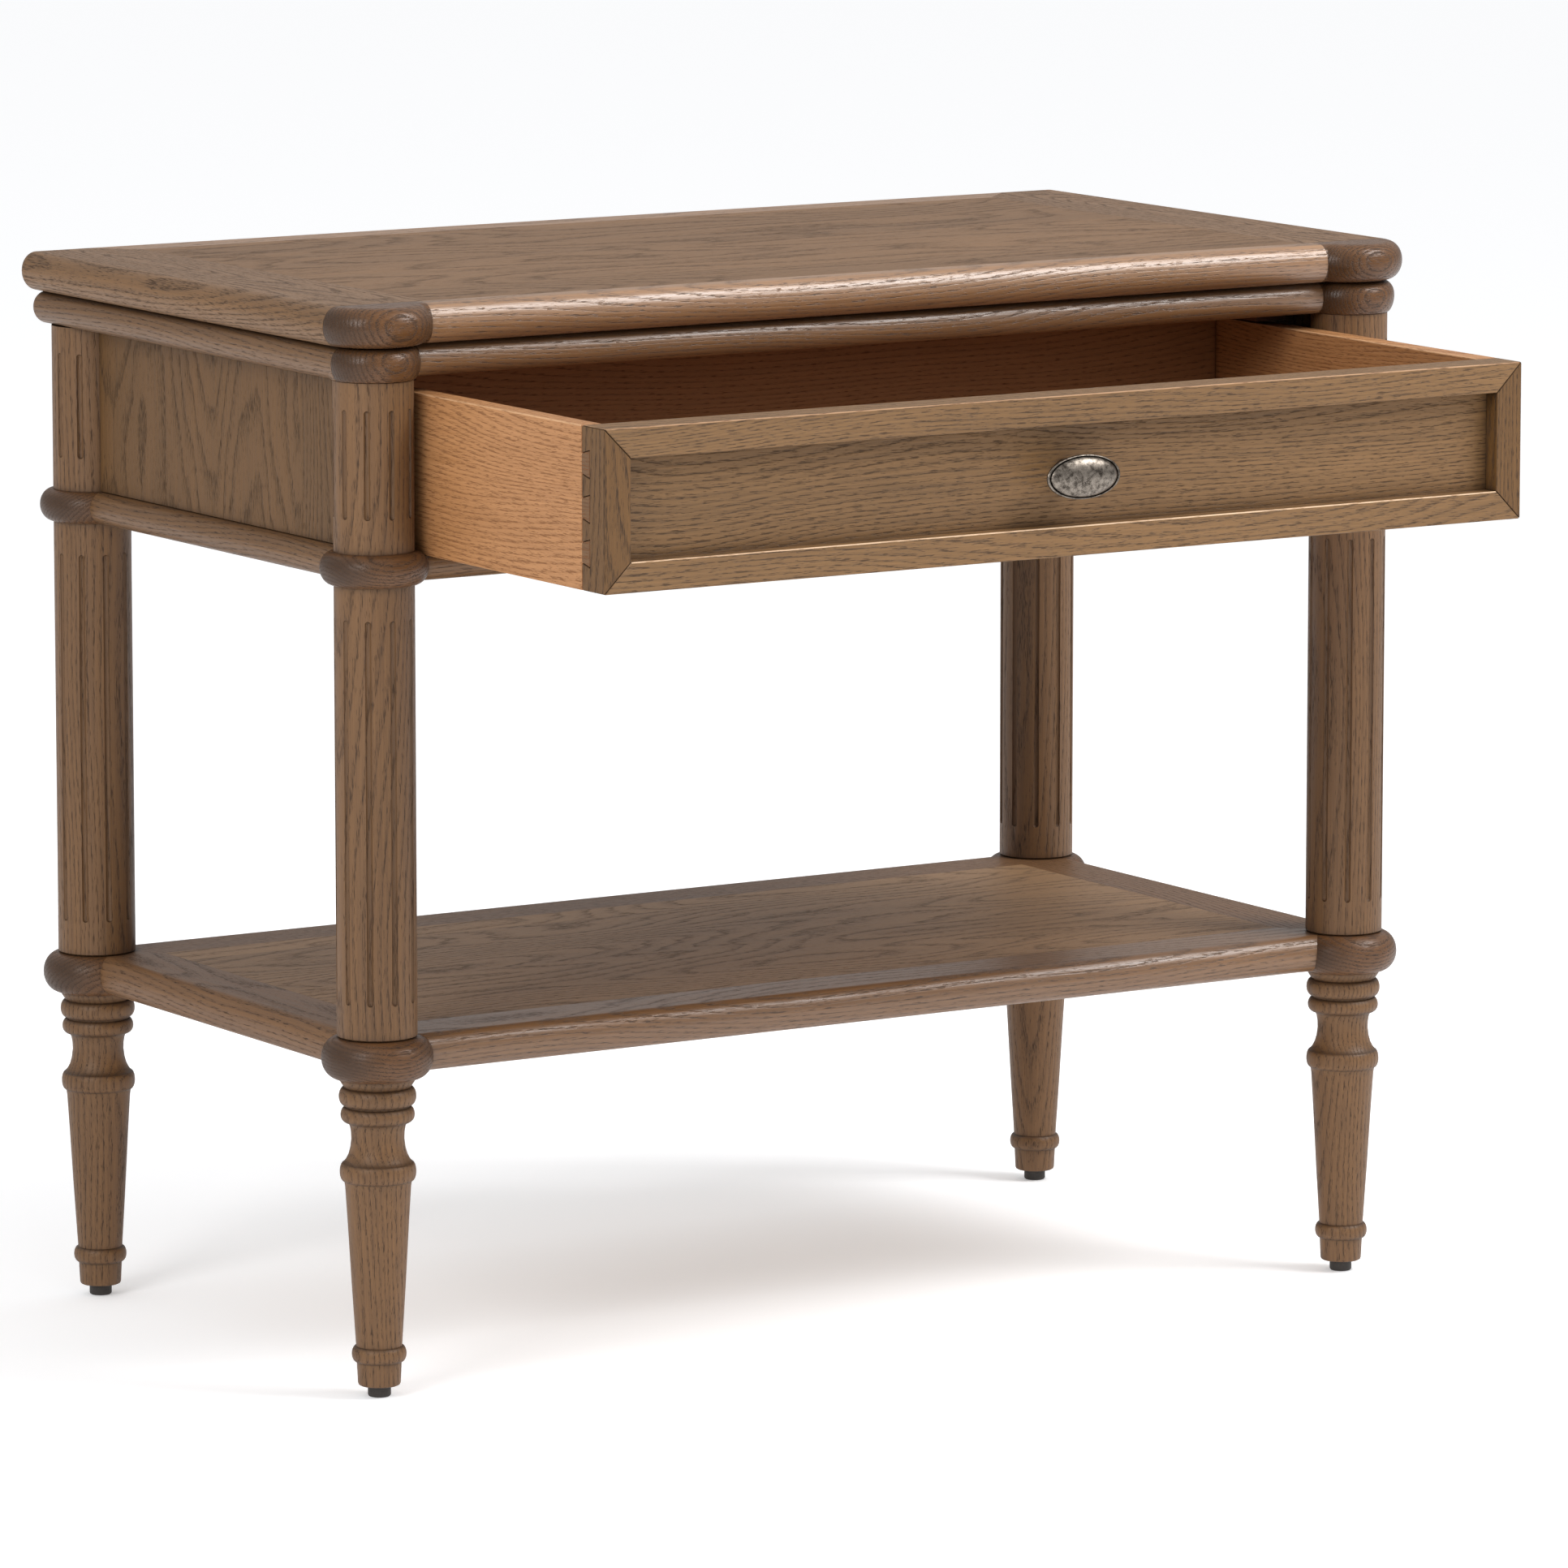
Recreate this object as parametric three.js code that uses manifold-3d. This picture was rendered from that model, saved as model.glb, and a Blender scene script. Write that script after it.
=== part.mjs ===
// Side table with one drawer: four fluted posts on turned feet, a moulded top in two tiers,
// an apron that holds the drawer, and a low shelf. Millimetres, +Z up, front towards -Y.
// The origin is on the floor, under the middle of the table's box with the drawer drawn out.
import * as THREE from 'three';
import { mergeVertices } from 'three/addons/utils/BufferGeometryUtils.js';
import Module from 'manifold-3d';

const GAP = 0.3; // clearance between pieces that touch

// Posts
const POST_X = 353.5;
const POST_Y = 177;
const POST_R = 24.2;

// Heights, from the floor up
const Z_FOOT = 7;
const Z_SHELF_RING = 195;
const Z_SHELF = 197;
const Z_SHELF_TOP = 220;
const Z_APRON = 493;
const Z_APRON_TOP = 513;
const Z_SUBTOP = 615.5;
const Z_TOP = 636;
const Z_MAX = 660;

// Radii of the round pieces
const GLIDE_R = 7;
const SHELF_RING_R = 33.7;
const APRON_RING_R = 32.6;
const SUBTOP_EAR_R = 28.5;
const TOP_EAR_R = 35.3;
const TOP_EAR_SHIFT = 1.5; // the top's ears sit this much inwards of the posts

// Plan sizes of the moulded tiers: half width, front and back reach, depth of the rounded edge
const TOP = { x: 387.3, front: 196.4, back: 210.6, nose: 9.5, backRadius: 22, frontRadius: 20.9 };
const SUBTOP = { x: 382, front: 187, back: 205.5, nose: 9, backRadius: 14, frontRadius: 10 };
const APRON = { x: 370, front: 191.4, back: 191.4, nose: 10, backRadius: 10.5, frontRadius: 10.5 };
const SHELF = { x: 367.6, front: 191.2, back: 191.2, nose: 9.5, backRadius: 10, frontRadius: 10 };

// Inner edges of the borders of each tier: half width and half depth
const TOP_FIELD = { x: 316.5, y: 177 };
const SUBTOP_OPENING = { x: 300, y: 150 };
const APRON_OPENING = { x: 340, y: 145 };
const SHELF_FIELD = { x: 322, y: 146 };

// Panels of the case
const PANEL_T = 15;
const SIDE_PANEL_X = 360;
const BACK_PANEL_Y = 183.5;

// Drawer, given in its closed place
const DRAWER_OUT = 212; // how far it is drawn out
const DRAWER_X = 326.5;
const DRAWER_FRONT = -185.6;
const DRAWER_BACK = 134;
const DRAWER_Z = 509.6;
const DRAWER_TOP = 606;
const FRONT_T = 25.3;
const FRAME_W = 18;
const PANEL_RECESS = 12;
const FRONT_PANEL_T = 8;
const PANEL_TONGUE = 4;
const SIDE_T = 14;
const BACK_T = 12;
const BOTTOM_Z = 516;
const BOTTOM_T = 6;
const GROOVE = 6;
const TAIL_L = 8.2;
const TAIL_H = 16;
const TAIL_SPLAY = 2.2;
const TAIL_PITCH = 26;

// Knob and its screw
const KNOB_Z = 557.8;
const KNOB_A = 26;
const KNOB_B = 13.4;
const KNOB_HEAD = 12;
const KNOB_STEM_R = 6.5;
const KNOB_REACH = 26;
const SCREW_R = 2;
const SCREW_HEAD_R = 4.5;
const SCREW_HEAD_T = 2.6;
const SCREW_L = 22;

// Drawer runners, kickers and stop
const RUNNER_X = 300;
const RUNNER_Y = 144.7;
const RUNNER_Z = 495;
const GUIDE_X = 328.5;
const GUIDE_TOP = 525;
const KICKER = { inner: 305, outer: 328.5, z: 608.3 };
const STOP = { x: 30, z: 540, top: 570 };

const SEGMENTS = 20; // round the posts and rings
const NOSE_STEPS = 3; // steps in a quarter of a rounded edge
const FAR = 600; // beyond every edge of the table

const wasm = await Module();
wasm.setup();

// Solids --------------------------------------------------------------------------------------

// A closed geometry as a solid that can be joined and cut.
function solid(geometry) {
  const bare = geometry.clone();
  bare.deleteAttribute('normal');
  bare.deleteAttribute('uv');
  const merged = mergeVertices(bare, 1e-4);
  const whole = [];
  for (let i = 0; i < merged.index.count; i += 3) {
    const [a, b, c] = [0, 1, 2].map((k) => merged.index.getX(i + k));
    if (a !== b && b !== c && c !== a) whole.push(a, b, c);
  }
  const vertProperties = new Float32Array(merged.attributes.position.array);
  const triVerts = new Uint32Array(whole);
  return new wasm.Manifold(new wasm.Mesh({ numProp: 3, vertProperties, triVerts }));
}

function geometryOf(manifold) {
  const mesh = manifold.getMesh();
  const geometry = new THREE.BufferGeometry();
  geometry.setAttribute('position', new THREE.BufferAttribute(mesh.vertProperties, 3));
  geometry.setIndex(new THREE.BufferAttribute(mesh.triVerts, 1));
  geometry.computeVertexNormals();
  return geometry;
}

function cut(piece, ...cutters) {
  return cutters.reduce((rest, cutter) => rest.subtract(cutter), piece);
}

// A box between two corners.
function block(x0, x1, y0, y1, z0, z1) {
  const box = new THREE.BoxGeometry(x1 - x0, y1 - y0, z1 - z0);
  box.translate((x0 + x1) / 2, (y0 + y1) / 2, (z0 + z1) / 2);
  return solid(box);
}

// A prism that stands on a plan outline given as [x, y] points.
function prism(points, z0, z1) {
  const shape = new THREE.Shape(points.map(([x, y]) => new THREE.Vector2(x, y)));
  const body = new THREE.ExtrudeGeometry(shape, { depth: z1 - z0, bevelEnabled: false });
  body.translate(0, 0, z0);
  return solid(body);
}

// A turned solid: the profile's [radius, height] points, on a vertical axis at x, y.
function turned(profile, x, y, segments = SEGMENTS) {
  const points = profile.map(([r, z]) => new THREE.Vector2(r, z));
  const body = new THREE.LatheGeometry(points, segments);
  body.rotateX(Math.PI / 2);
  body.translate(x, y, 0);
  return solid(body);
}

// Points of a rounded edge from z0 up to z1 that bulges from r0 and r1 out to the radius `out`.
function bead(r0, z0, r1, z1, out, steps = 2 * NOSE_STEPS) {
  const points = [];
  for (let i = 0; i <= steps; i += 1) {
    const t = i / steps;
    const base = r0 + (r1 - r0) * t;
    const angle = Math.PI * t;
    const z = (z0 + z1) / 2 - ((z1 - z0) / 2) * Math.cos(angle);
    points.push([base + (out - base) * Math.sin(angle), z]);
  }
  return points;
}

// A round disc with a half-round edge, `grow` larger all over when it is used as a cutter.
function disc(radius, nose, z0, z1, x, y, grow = 0) {
  const flat = radius - nose;
  const low = z0 - grow;
  const high = z1 + grow;
  return turned([[0, low], ...bead(flat, low, flat, high, radius + grow), [0, high]], x, y);
}

// A tier of the table: a rectangle with round corners in plan and a half-round edge all round.
function tier({ x, front, back, nose, backRadius, frontRadius }, z0, z1) {
  const shape = new THREE.Shape();
  shape.absarc(x - backRadius, back - backRadius, backRadius, 0, Math.PI / 2, false);
  shape.absarc(backRadius - x, back - backRadius, backRadius, Math.PI / 2, Math.PI, false);
  shape.absarc(frontRadius - x, frontRadius - front, frontRadius, Math.PI, 1.5 * Math.PI, false);
  shape.absarc(x - frontRadius, frontRadius - front, frontRadius, 1.5 * Math.PI, 2 * Math.PI, false);
  const body = new THREE.ExtrudeGeometry(shape, {
    depth: (z1 - z0) * 0.02,
    bevelThickness: (z1 - z0) * 0.49,
    bevelSize: nose,
    bevelOffset: -nose,
    bevelSegments: NOSE_STEPS,
    curveSegments: 5,
  });
  body.translate(0, 0, z0 + (z1 - z0) * 0.49);
  return solid(body);
}

// Plan outline of one border strip round a field, mitred at both ends and clear by the gap.
const TURN = {
  front: ([u, v]) => [u, -v],
  back: ([u, v]) => [-u, v],
  left: ([u, v]) => [-v, -u],
  right: ([u, v]) => [v, u],
};

function strip(side, field) {
  const along = side === 'front' || side === 'back';
  const u = along ? field.x : field.y;
  const v = along ? field.y : field.x;
  const g = GAP / 2;
  const near = u + g - g * Math.SQRT2;
  const far = u + FAR - g * Math.SQRT2;
  const points = [[-near, v + g], [near, v + g], [far, v + FAR], [-far, v + FAR]];
  return prism(points.map(TURN[side]), -GAP, Z_MAX + GAP);
}

// Everything inside the borders of a field.
function inside(field, z0, z1) {
  const x = field.x - GAP / 2;
  const y = field.y - GAP / 2;
  return block(-x, x, -y, y, z0 - GAP, z1 + GAP);
}

// Finishes and the scene graph ------------------------------------------------------------------

const finish = {
  oak: new THREE.MeshStandardMaterial({ color: 0x765e46, roughness: 0.55, metalness: 0 }),
  drawerOak: new THREE.MeshStandardMaterial({ color: 0xb98b60, roughness: 0.6, metalness: 0 }),
  insideOak: new THREE.MeshStandardMaterial({ color: 0x6b4630, roughness: 0.65, metalness: 0 }),
  plywood: new THREE.MeshStandardMaterial({ color: 0x8a6a4c, roughness: 0.7, metalness: 0 }),
  pewter: new THREE.MeshStandardMaterial({ color: 0x8d867e, roughness: 0.4, metalness: 1 }),
  steel: new THREE.MeshStandardMaterial({ color: 0xa9a9a6, roughness: 0.35, metalness: 1 }),
  glide: new THREE.MeshStandardMaterial({ color: 0x2b2622, roughness: 0.8, metalness: 0 }),
};

const table = new THREE.Group();
const drawer = new THREE.Group();

function add(group, name, manifold, material) {
  const mesh = new THREE.Mesh(geometryOf(manifold), material);
  mesh.name = name;
  group.add(mesh);
}

// The four corners of the table.
const corners = [
  { name: 'front_left', x: -POST_X, y: -POST_Y },
  { name: 'front_right', x: POST_X, y: -POST_Y },
  { name: 'back_left', x: -POST_X, y: POST_Y },
  { name: 'back_right', x: POST_X, y: POST_Y },
];
const SIDES = ['front', 'back', 'left', 'right'];

// Legs ------------------------------------------------------------------------------------------

// The turned foot, from the ankle bead up through the taper, collar, cove and two beads.
const FOOT_PROFILE = [
  [0, Z_FOOT],
  [12.4, Z_FOOT],
  [13.2, 9],
  ...bead(13.6, 21.5, 13.9, 31.5, 16.6, 4),
  [19.7, 130],
  ...bead(20.2, 132.5, 20.8, 143.5, 23, 4),
  [17.6, 148.5],
  [15.9, 157.5],
  [17, 166],
  ...bead(17.6, 167.5, 19.4, 177.6, 22.4, 4),
  ...bead(19.6, 178.4, 20.2, 189.6, 23.3, 4),
  [23, Z_SHELF_RING - GAP],
  [0, Z_SHELF_RING - GAP],
];
const GLIDE_PROFILE = [[0, 0], [GLIDE_R - 0.6, 0], [GLIDE_R, 1], [GLIDE_R, Z_FOOT - GAP], [0, Z_FOOT - GAP]];
const POST_PROFILE = [
  [0, Z_SHELF_TOP + GAP],
  [POST_R, Z_SHELF_TOP + GAP],
  [POST_R, Z_SUBTOP - GAP],
  [0, Z_SUBTOP - GAP],
];

function apronRing(x, y, grow = 0) {
  const inner = POST_R + GAP;
  const low = Z_APRON - grow;
  const high = Z_APRON_TOP + grow;
  const edge = bead(inner, low, inner, high, APRON_RING_R + grow);
  return grow > 0 ? turned([[0, low], ...edge, [0, high]], x, y) : turned([...edge, edge[0]], x, y);
}

// The space that the drawer sweeps, closed to fully out, with its clearance.
const drawerPath = block(
  -DRAWER_X - GAP,
  DRAWER_X + GAP,
  DRAWER_FRONT - FAR,
  DRAWER_BACK + GAP,
  DRAWER_Z - GAP,
  DRAWER_TOP + GAP,
);

for (const { name, x, y } of corners) {
  add(table, `glide_${name}`, turned(GLIDE_PROFILE, x, y, 12), finish.glide);
  add(table, `foot_${name}`, turned(FOOT_PROFILE, x, y, 16), finish.oak);
  const shelfRing = disc(SHELF_RING_R, 10, Z_SHELF_RING, Z_SHELF_TOP, x, y);
  add(table, `shelf_ring_${name}`, shelfRing, finish.oak);
  add(table, `post_${name}`, turned(POST_PROFILE, x, y), finish.oak);
  add(table, `apron_ring_${name}`, cut(apronRing(x, y), drawerPath), finish.oak);
}

// Shelf -----------------------------------------------------------------------------------------

const shelfRings = corners.map(({ x, y }) => disc(SHELF_RING_R, 10, Z_SHELF_RING, Z_SHELF_TOP, x, y, GAP));
const shelf = cut(tier(SHELF, Z_SHELF, Z_SHELF_TOP), ...shelfRings);
add(table, 'shelf_panel', shelf.intersect(inside(SHELF_FIELD, Z_SHELF, Z_SHELF_TOP)), finish.oak);
for (const side of SIDES) {
  add(table, `shelf_edge_${side}`, shelf.intersect(strip(side, SHELF_FIELD)), finish.oak);
}

// Apron: a bead rail on each side with a panel above it on three ----------------------------------

const apronRings = corners.map(({ x, y }) => apronRing(x, y, GAP));
const postHoles = corners.map(({ x, y }) => disc(POST_R + GAP, 0, 0, Z_MAX, x, y));
const apron = cut(tier(APRON, Z_APRON + 0.5, Z_APRON_TOP), ...apronRings);
// The front rail is planed flat on top, so that the drawer passes over it.
const overRail = block(-FAR, FAR, -FAR, -APRON_OPENING.y + 1, DRAWER_Z - GAP, Z_MAX);
for (const side of SIDES) {
  const rail = apron.intersect(strip(side, APRON_OPENING));
  add(table, `bead_rail_${side}`, side === 'front' ? cut(rail, overRail) : rail, finish.oak);
}

const PANEL_Z = Z_APRON_TOP + GAP;
const PANEL_TOP = Z_SUBTOP - GAP;
const sideInner = SIDE_PANEL_X - PANEL_T;
for (const [name, x0, x1] of [
  ['side_panel_left', -SIDE_PANEL_X, -sideInner],
  ['side_panel_right', sideInner, SIDE_PANEL_X],
]) {
  const board = block(x0, x1, -POST_Y, POST_Y, PANEL_Z, PANEL_TOP);
  add(table, name, cut(board, ...postHoles), finish.oak);
}
const backInner = BACK_PANEL_Y - PANEL_T;
const backBoard = block(-POST_X, POST_X, backInner, BACK_PANEL_Y, PANEL_Z, PANEL_TOP);
add(table, 'back_panel', cut(backBoard, ...postHoles), finish.oak);

// Drawer runners, kickers and stop ----------------------------------------------------------------

// An upright profile of [x, z] points drawn out along Y, on the left (-1) or the right (1).
function lengthwise(profile, y0, y1, hand) {
  const shape = new THREE.Shape(profile.map(([x, z]) => new THREE.Vector2(hand * x, z)));
  const body = new THREE.ExtrudeGeometry(shape, { depth: y1 - y0, bevelEnabled: false });
  body.rotateX(Math.PI / 2);
  body.translate(0, y1, 0);
  return solid(body);
}

const runnerTop = DRAWER_Z - 0.4;
const runnerOuter = APRON_OPENING.x - GAP;
const RUNNER_PROFILE = [
  [RUNNER_X, RUNNER_Z],
  [runnerOuter, RUNNER_Z],
  [runnerOuter, GUIDE_TOP],
  [GUIDE_X, GUIDE_TOP],
  [GUIDE_X, runnerTop],
  [RUNNER_X, runnerTop],
];
for (const [side, hand] of [['left', -1], ['right', 1]]) {
  const runner = lengthwise(RUNNER_PROFILE, -RUNNER_Y, RUNNER_Y, hand);
  add(table, `drawer_runner_${side}`, runner, finish.insideOak);
  const [near, far] = [hand * KICKER.inner, hand * KICKER.outer].sort((a, b) => a - b);
  const kicker = block(near, far, -RUNNER_Y, RUNNER_Y, KICKER.z, PANEL_TOP);
  add(table, `drawer_kicker_${side}`, kicker, finish.insideOak);
}
const stop = block(-STOP.x, STOP.x, DRAWER_BACK + GAP, backInner - GAP, STOP.z, STOP.top);
add(table, 'drawer_stop', stop, finish.insideOak);

// Sub-top: four moulded rails round an open middle, with the front corners swelling over the posts --

const subtopEars = corners.slice(0, 2).map(({ x, y }) => (
  disc(SUBTOP_EAR_R, SUBTOP.nose, Z_SUBTOP, Z_TOP - GAP, x, y)
));
const subtop = subtopEars.reduce((whole, ear) => whole.add(ear), tier(SUBTOP, Z_SUBTOP, Z_TOP - GAP));
const subtopFront = POST_X - SUBTOP_EAR_R;
const frontEnds = [-1, 1].map((hand) => {
  const [near, far] = [hand * subtopFront, hand * FAR].sort((a, b) => a - b);
  return block(near - GAP / 2, far + GAP / 2, -FAR, -SUBTOP_OPENING.y, Z_SUBTOP - 1, Z_TOP + 1);
});
for (const side of SIDES) {
  const own = subtop.intersect(strip(side, SUBTOP_OPENING));
  const ear = side === 'left' ? 0 : 1;
  if (side === 'front') {
    add(table, 'subtop_rail_front', cut(own, ...frontEnds), finish.oak);
  } else if (side === 'back') {
    add(table, 'subtop_rail_back', own, finish.oak);
  } else {
    const hand = ear * 2 - 1;
    const [near, far] = [hand * (subtopFront + GAP / 2), hand * FAR].sort((a, b) => a - b);
    const end = block(near, far, -FAR, -SUBTOP_OPENING.y + 1, Z_SUBTOP - 1, Z_TOP + 1);
    add(table, `subtop_rail_${side}`, own.add(subtop.intersect(end)), finish.oak);
  }
}

// Top: a field board, four moulded edges and a block at each front corner ---------------------------

const topEars = corners.slice(0, 2).map(({ x, y }) => {
  const earX = x - Math.sign(x) * TOP_EAR_SHIFT;
  return disc(TOP_EAR_R, TOP.nose, Z_TOP, Z_MAX, earX, y + TOP_EAR_SHIFT);
});
const top = topEars.reduce((whole, ear) => whole.add(ear), tier(TOP, Z_TOP, Z_MAX));
const g = GAP / 2;
add(table, 'top_panel', top.intersect(inside(TOP_FIELD, Z_TOP, Z_MAX)), finish.oak);
const cornerBoxes = [-1, 1].map((hand) => {
  const [near, far] = [hand * TOP_FIELD.x, hand * FAR].sort((a, b) => a - b);
  return { near, far };
});
const cornerRooms = cornerBoxes.map(({ near, far }) => (
  block(near - g, far + g, -FAR - FAR, -TOP_FIELD.y + g, Z_TOP - 1, Z_MAX + 1)
));
for (const side of SIDES) {
  add(table, `top_edge_${side}`, cut(top.intersect(strip(side, TOP_FIELD)), ...cornerRooms), finish.oak);
}
cornerBoxes.forEach(({ near, far }, i) => {
  const room = block(near + g, far - g, -FAR, -TOP_FIELD.y - g, Z_TOP - 1, Z_MAX + 1);
  add(table, `top_corner_${corners[i].name}`, top.intersect(room), finish.oak);
});

// Drawer front: a mitred frame round a flat panel ---------------------------------------------------

const frontBack = DRAWER_FRONT + FRONT_T;
const panelFront = DRAWER_FRONT + PANEL_RECESS;
const middleZ = (DRAWER_Z + DRAWER_TOP) / 2;
const openingX = DRAWER_X - FRAME_W;
const openingH = (DRAWER_TOP - DRAWER_Z) / 2 - FRAME_W;

// The front panel, or the groove for it when it grows by the gap.
function frontPanel(grow) {
  const x = openingX + PANEL_TONGUE + grow - GAP;
  const h = openingH + PANEL_TONGUE + grow - GAP;
  const y0 = panelFront - grow;
  const y1 = panelFront + FRONT_PANEL_T + grow;
  return block(-x, x, y0, y1, middleZ - h, middleZ + h);
}

// The drawer's bottom, or the grooves for it when it grows by the gap.
function drawerBottom(grow) {
  const x = DRAWER_X - SIDE_T + GROOVE + grow - GAP;
  const y0 = frontBack - GROOVE - grow + GAP;
  return block(-x, x, y0, DRAWER_BACK + grow, BOTTOM_Z - grow, BOTTOM_Z + BOTTOM_T + grow);
}

// The dovetails on the front end of a drawer side, or their sockets when they grow by the gap.
function dovetails(hand, grow) {
  const [x0, x1] = [hand * (DRAWER_X - SIDE_T), hand * DRAWER_X].sort((a, b) => a - b);
  const root = frontBack + 0.5;
  const tip = frontBack - TAIL_L - grow;
  const tails = [-1, 0, 1].map((row) => {
    const z = middleZ + row * TAIL_PITCH;
    const narrow = TAIL_H / 2 - TAIL_SPLAY + grow;
    const wide = TAIL_H / 2 + grow;
    const outline = [[root, z - narrow], [root, z + narrow], [tip, z + wide], [tip, z - wide]];
    const shape = new THREE.Shape(outline.map(([y, h]) => new THREE.Vector2(y, h)));
    const body = new THREE.ExtrudeGeometry(shape, { depth: x1 - x0 + 2 * grow, bevelEnabled: false });
    // The outline's plane (y, z) stands upright and the depth runs along X.
    body.applyMatrix4(new THREE.Matrix4().set(0, 0, 1, x0 - grow, 1, 0, 0, 0, 0, 1, 0, 0, 0, 0, 0, 1));
    return solid(body);
  });
  return tails.reduce((all, tail) => all.add(tail));
}

// One member of the mitred frame: its outline in the plane of the front, as [x, z] points.
function frameMember(points) {
  const shape = new THREE.Shape(points.map(([x, z]) => new THREE.Vector2(x, z)));
  const body = new THREE.ExtrudeGeometry(shape, { depth: FRONT_T, bevelEnabled: false });
  body.rotateX(Math.PI / 2);
  body.translate(0, frontBack, 0);
  return solid(body);
}

const m = g * Math.SQRT2; // how far a mitre steps back for the gap
const X = DRAWER_X;
const top0 = DRAWER_TOP;
const low0 = DRAWER_Z;
const frontMembers = {
  drawer_front_rail_top: [
    [-X + m, top0],
    [X - m, top0],
    [openingX - m, top0 - FRAME_W],
    [m - openingX, top0 - FRAME_W],
  ],
  drawer_front_rail_bottom: [
    [m - X, low0],
    [X - m, low0],
    [openingX - m, low0 + FRAME_W],
    [m - openingX, low0 + FRAME_W],
  ],
  drawer_front_stile_left: [
    [-X, low0 + m],
    [-X, top0 - m],
    [-openingX, top0 - FRAME_W - m],
    [-openingX, low0 + FRAME_W + m],
  ],
  drawer_front_stile_right: [
    [X, low0 + m],
    [X, top0 - m],
    [openingX, top0 - FRAME_W - m],
    [openingX, low0 + FRAME_W + m],
  ],
};
const sockets = [dovetails(-1, GAP), dovetails(1, GAP)];
for (const [name, points] of Object.entries(frontMembers)) {
  const member = cut(frameMember(points), frontPanel(GAP), drawerBottom(GAP), ...sockets);
  add(drawer, name, member, finish.oak);
}

// Drawer box ------------------------------------------------------------------------------------

for (const [side, hand] of [['left', -1], ['right', 1]]) {
  const [x0, x1] = [hand * (DRAWER_X - SIDE_T), hand * DRAWER_X].sort((a, b) => a - b);
  const board = block(x0, x1, frontBack + GAP, DRAWER_BACK, DRAWER_Z, DRAWER_TOP);
  const withTails = board.add(dovetails(hand, 0));
  add(drawer, `drawer_side_${side}`, cut(withTails, drawerBottom(GAP)), finish.drawerOak);
}
const backX = DRAWER_X - SIDE_T - GAP;
const backZ = BOTTOM_Z + BOTTOM_T + GAP;
const drawerBack = block(-backX, backX, DRAWER_BACK - BACK_T, DRAWER_BACK, backZ, DRAWER_TOP);
add(drawer, 'drawer_back', drawerBack, finish.insideOak);
add(drawer, 'drawer_bottom', drawerBottom(0), finish.plywood);

// Knob: an oval domed head on a round stem, held by a screw from inside the drawer -----------------

// A solid turned on an axis that points out of the drawer front, [radius, distance] from the panel.
function turnedForward(profile, squash, segments) {
  const points = profile.map(([r, d]) => new THREE.Vector2(r, d));
  const body = new THREE.LatheGeometry(points, segments);
  body.rotateX(Math.PI);
  body.scale(1, 1, squash);
  body.translate(0, panelFront, KNOB_Z);
  return solid(body);
}

const headBack = KNOB_REACH - KNOB_HEAD;
const HEAD_PROFILE = [
  [0, headBack],
  [KNOB_STEM_R + 2, headBack],
  [KNOB_A - 3, headBack + 2.5],
  [KNOB_A, headBack + 4.2],
  [KNOB_A, headBack + 5.6],
  [KNOB_A - 2, headBack + 6.4],
  [KNOB_A * 0.72, headBack + 9.4],
  [KNOB_A * 0.38, headBack + 11.4],
  [0, KNOB_REACH],
];
const STEM_PROFILE = [
  [0, GAP],
  [KNOB_STEM_R + 2.5, GAP],
  [KNOB_STEM_R + 2.5, 2],
  [KNOB_STEM_R - 1, 5],
  [KNOB_STEM_R, headBack + 3],
  [0, headBack + 3],
];
const screwIn = SCREW_L - FRONT_PANEL_T; // how far the screw stands out of the panel's face
const BORE_PROFILE = [
  [0, -GAP],
  [SCREW_R + GAP, -GAP],
  [SCREW_R + GAP, screwIn + GAP],
  [0, screwIn + GAP],
];
const SCREW_PROFILE = [
  [0, -FRONT_PANEL_T - GAP - SCREW_HEAD_T],
  [SCREW_HEAD_R, -FRONT_PANEL_T - GAP - SCREW_HEAD_T],
  [SCREW_HEAD_R, -FRONT_PANEL_T - GAP],
  [SCREW_R, -FRONT_PANEL_T - GAP],
  [SCREW_R, screwIn],
  [0, screwIn],
];
const HOLE_PROFILE = [
  [0, -FRONT_PANEL_T - 1],
  [SCREW_R + GAP, -FRONT_PANEL_T - 1],
  [SCREW_R + GAP, 1],
  [0, 1],
];
const head = turnedForward(HEAD_PROFILE, KNOB_B / KNOB_A, 20);
const stem = turnedForward(STEM_PROFILE, 1, 12);
add(drawer, 'knob', cut(head.add(stem), turnedForward(BORE_PROFILE, 1, 12)), finish.pewter);
add(drawer, 'knob_screw', turnedForward(SCREW_PROFILE, 1, 12), finish.steel);
const pierced = cut(frontPanel(0), turnedForward(HOLE_PROFILE, 1, 12));
add(drawer, 'drawer_front_panel', pierced, finish.oak);

// The whole table, moved so that its box stands centred on the origin --------------------------------

drawer.position.y = -DRAWER_OUT;
table.add(drawer);
const frontReach = panelFront - KNOB_REACH - DRAWER_OUT;
table.position.y = -(frontReach + TOP.back) / 2;

export default table;
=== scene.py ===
import math

import bmesh
import bpy
from mathutils import Euler, Matrix, Vector


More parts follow.
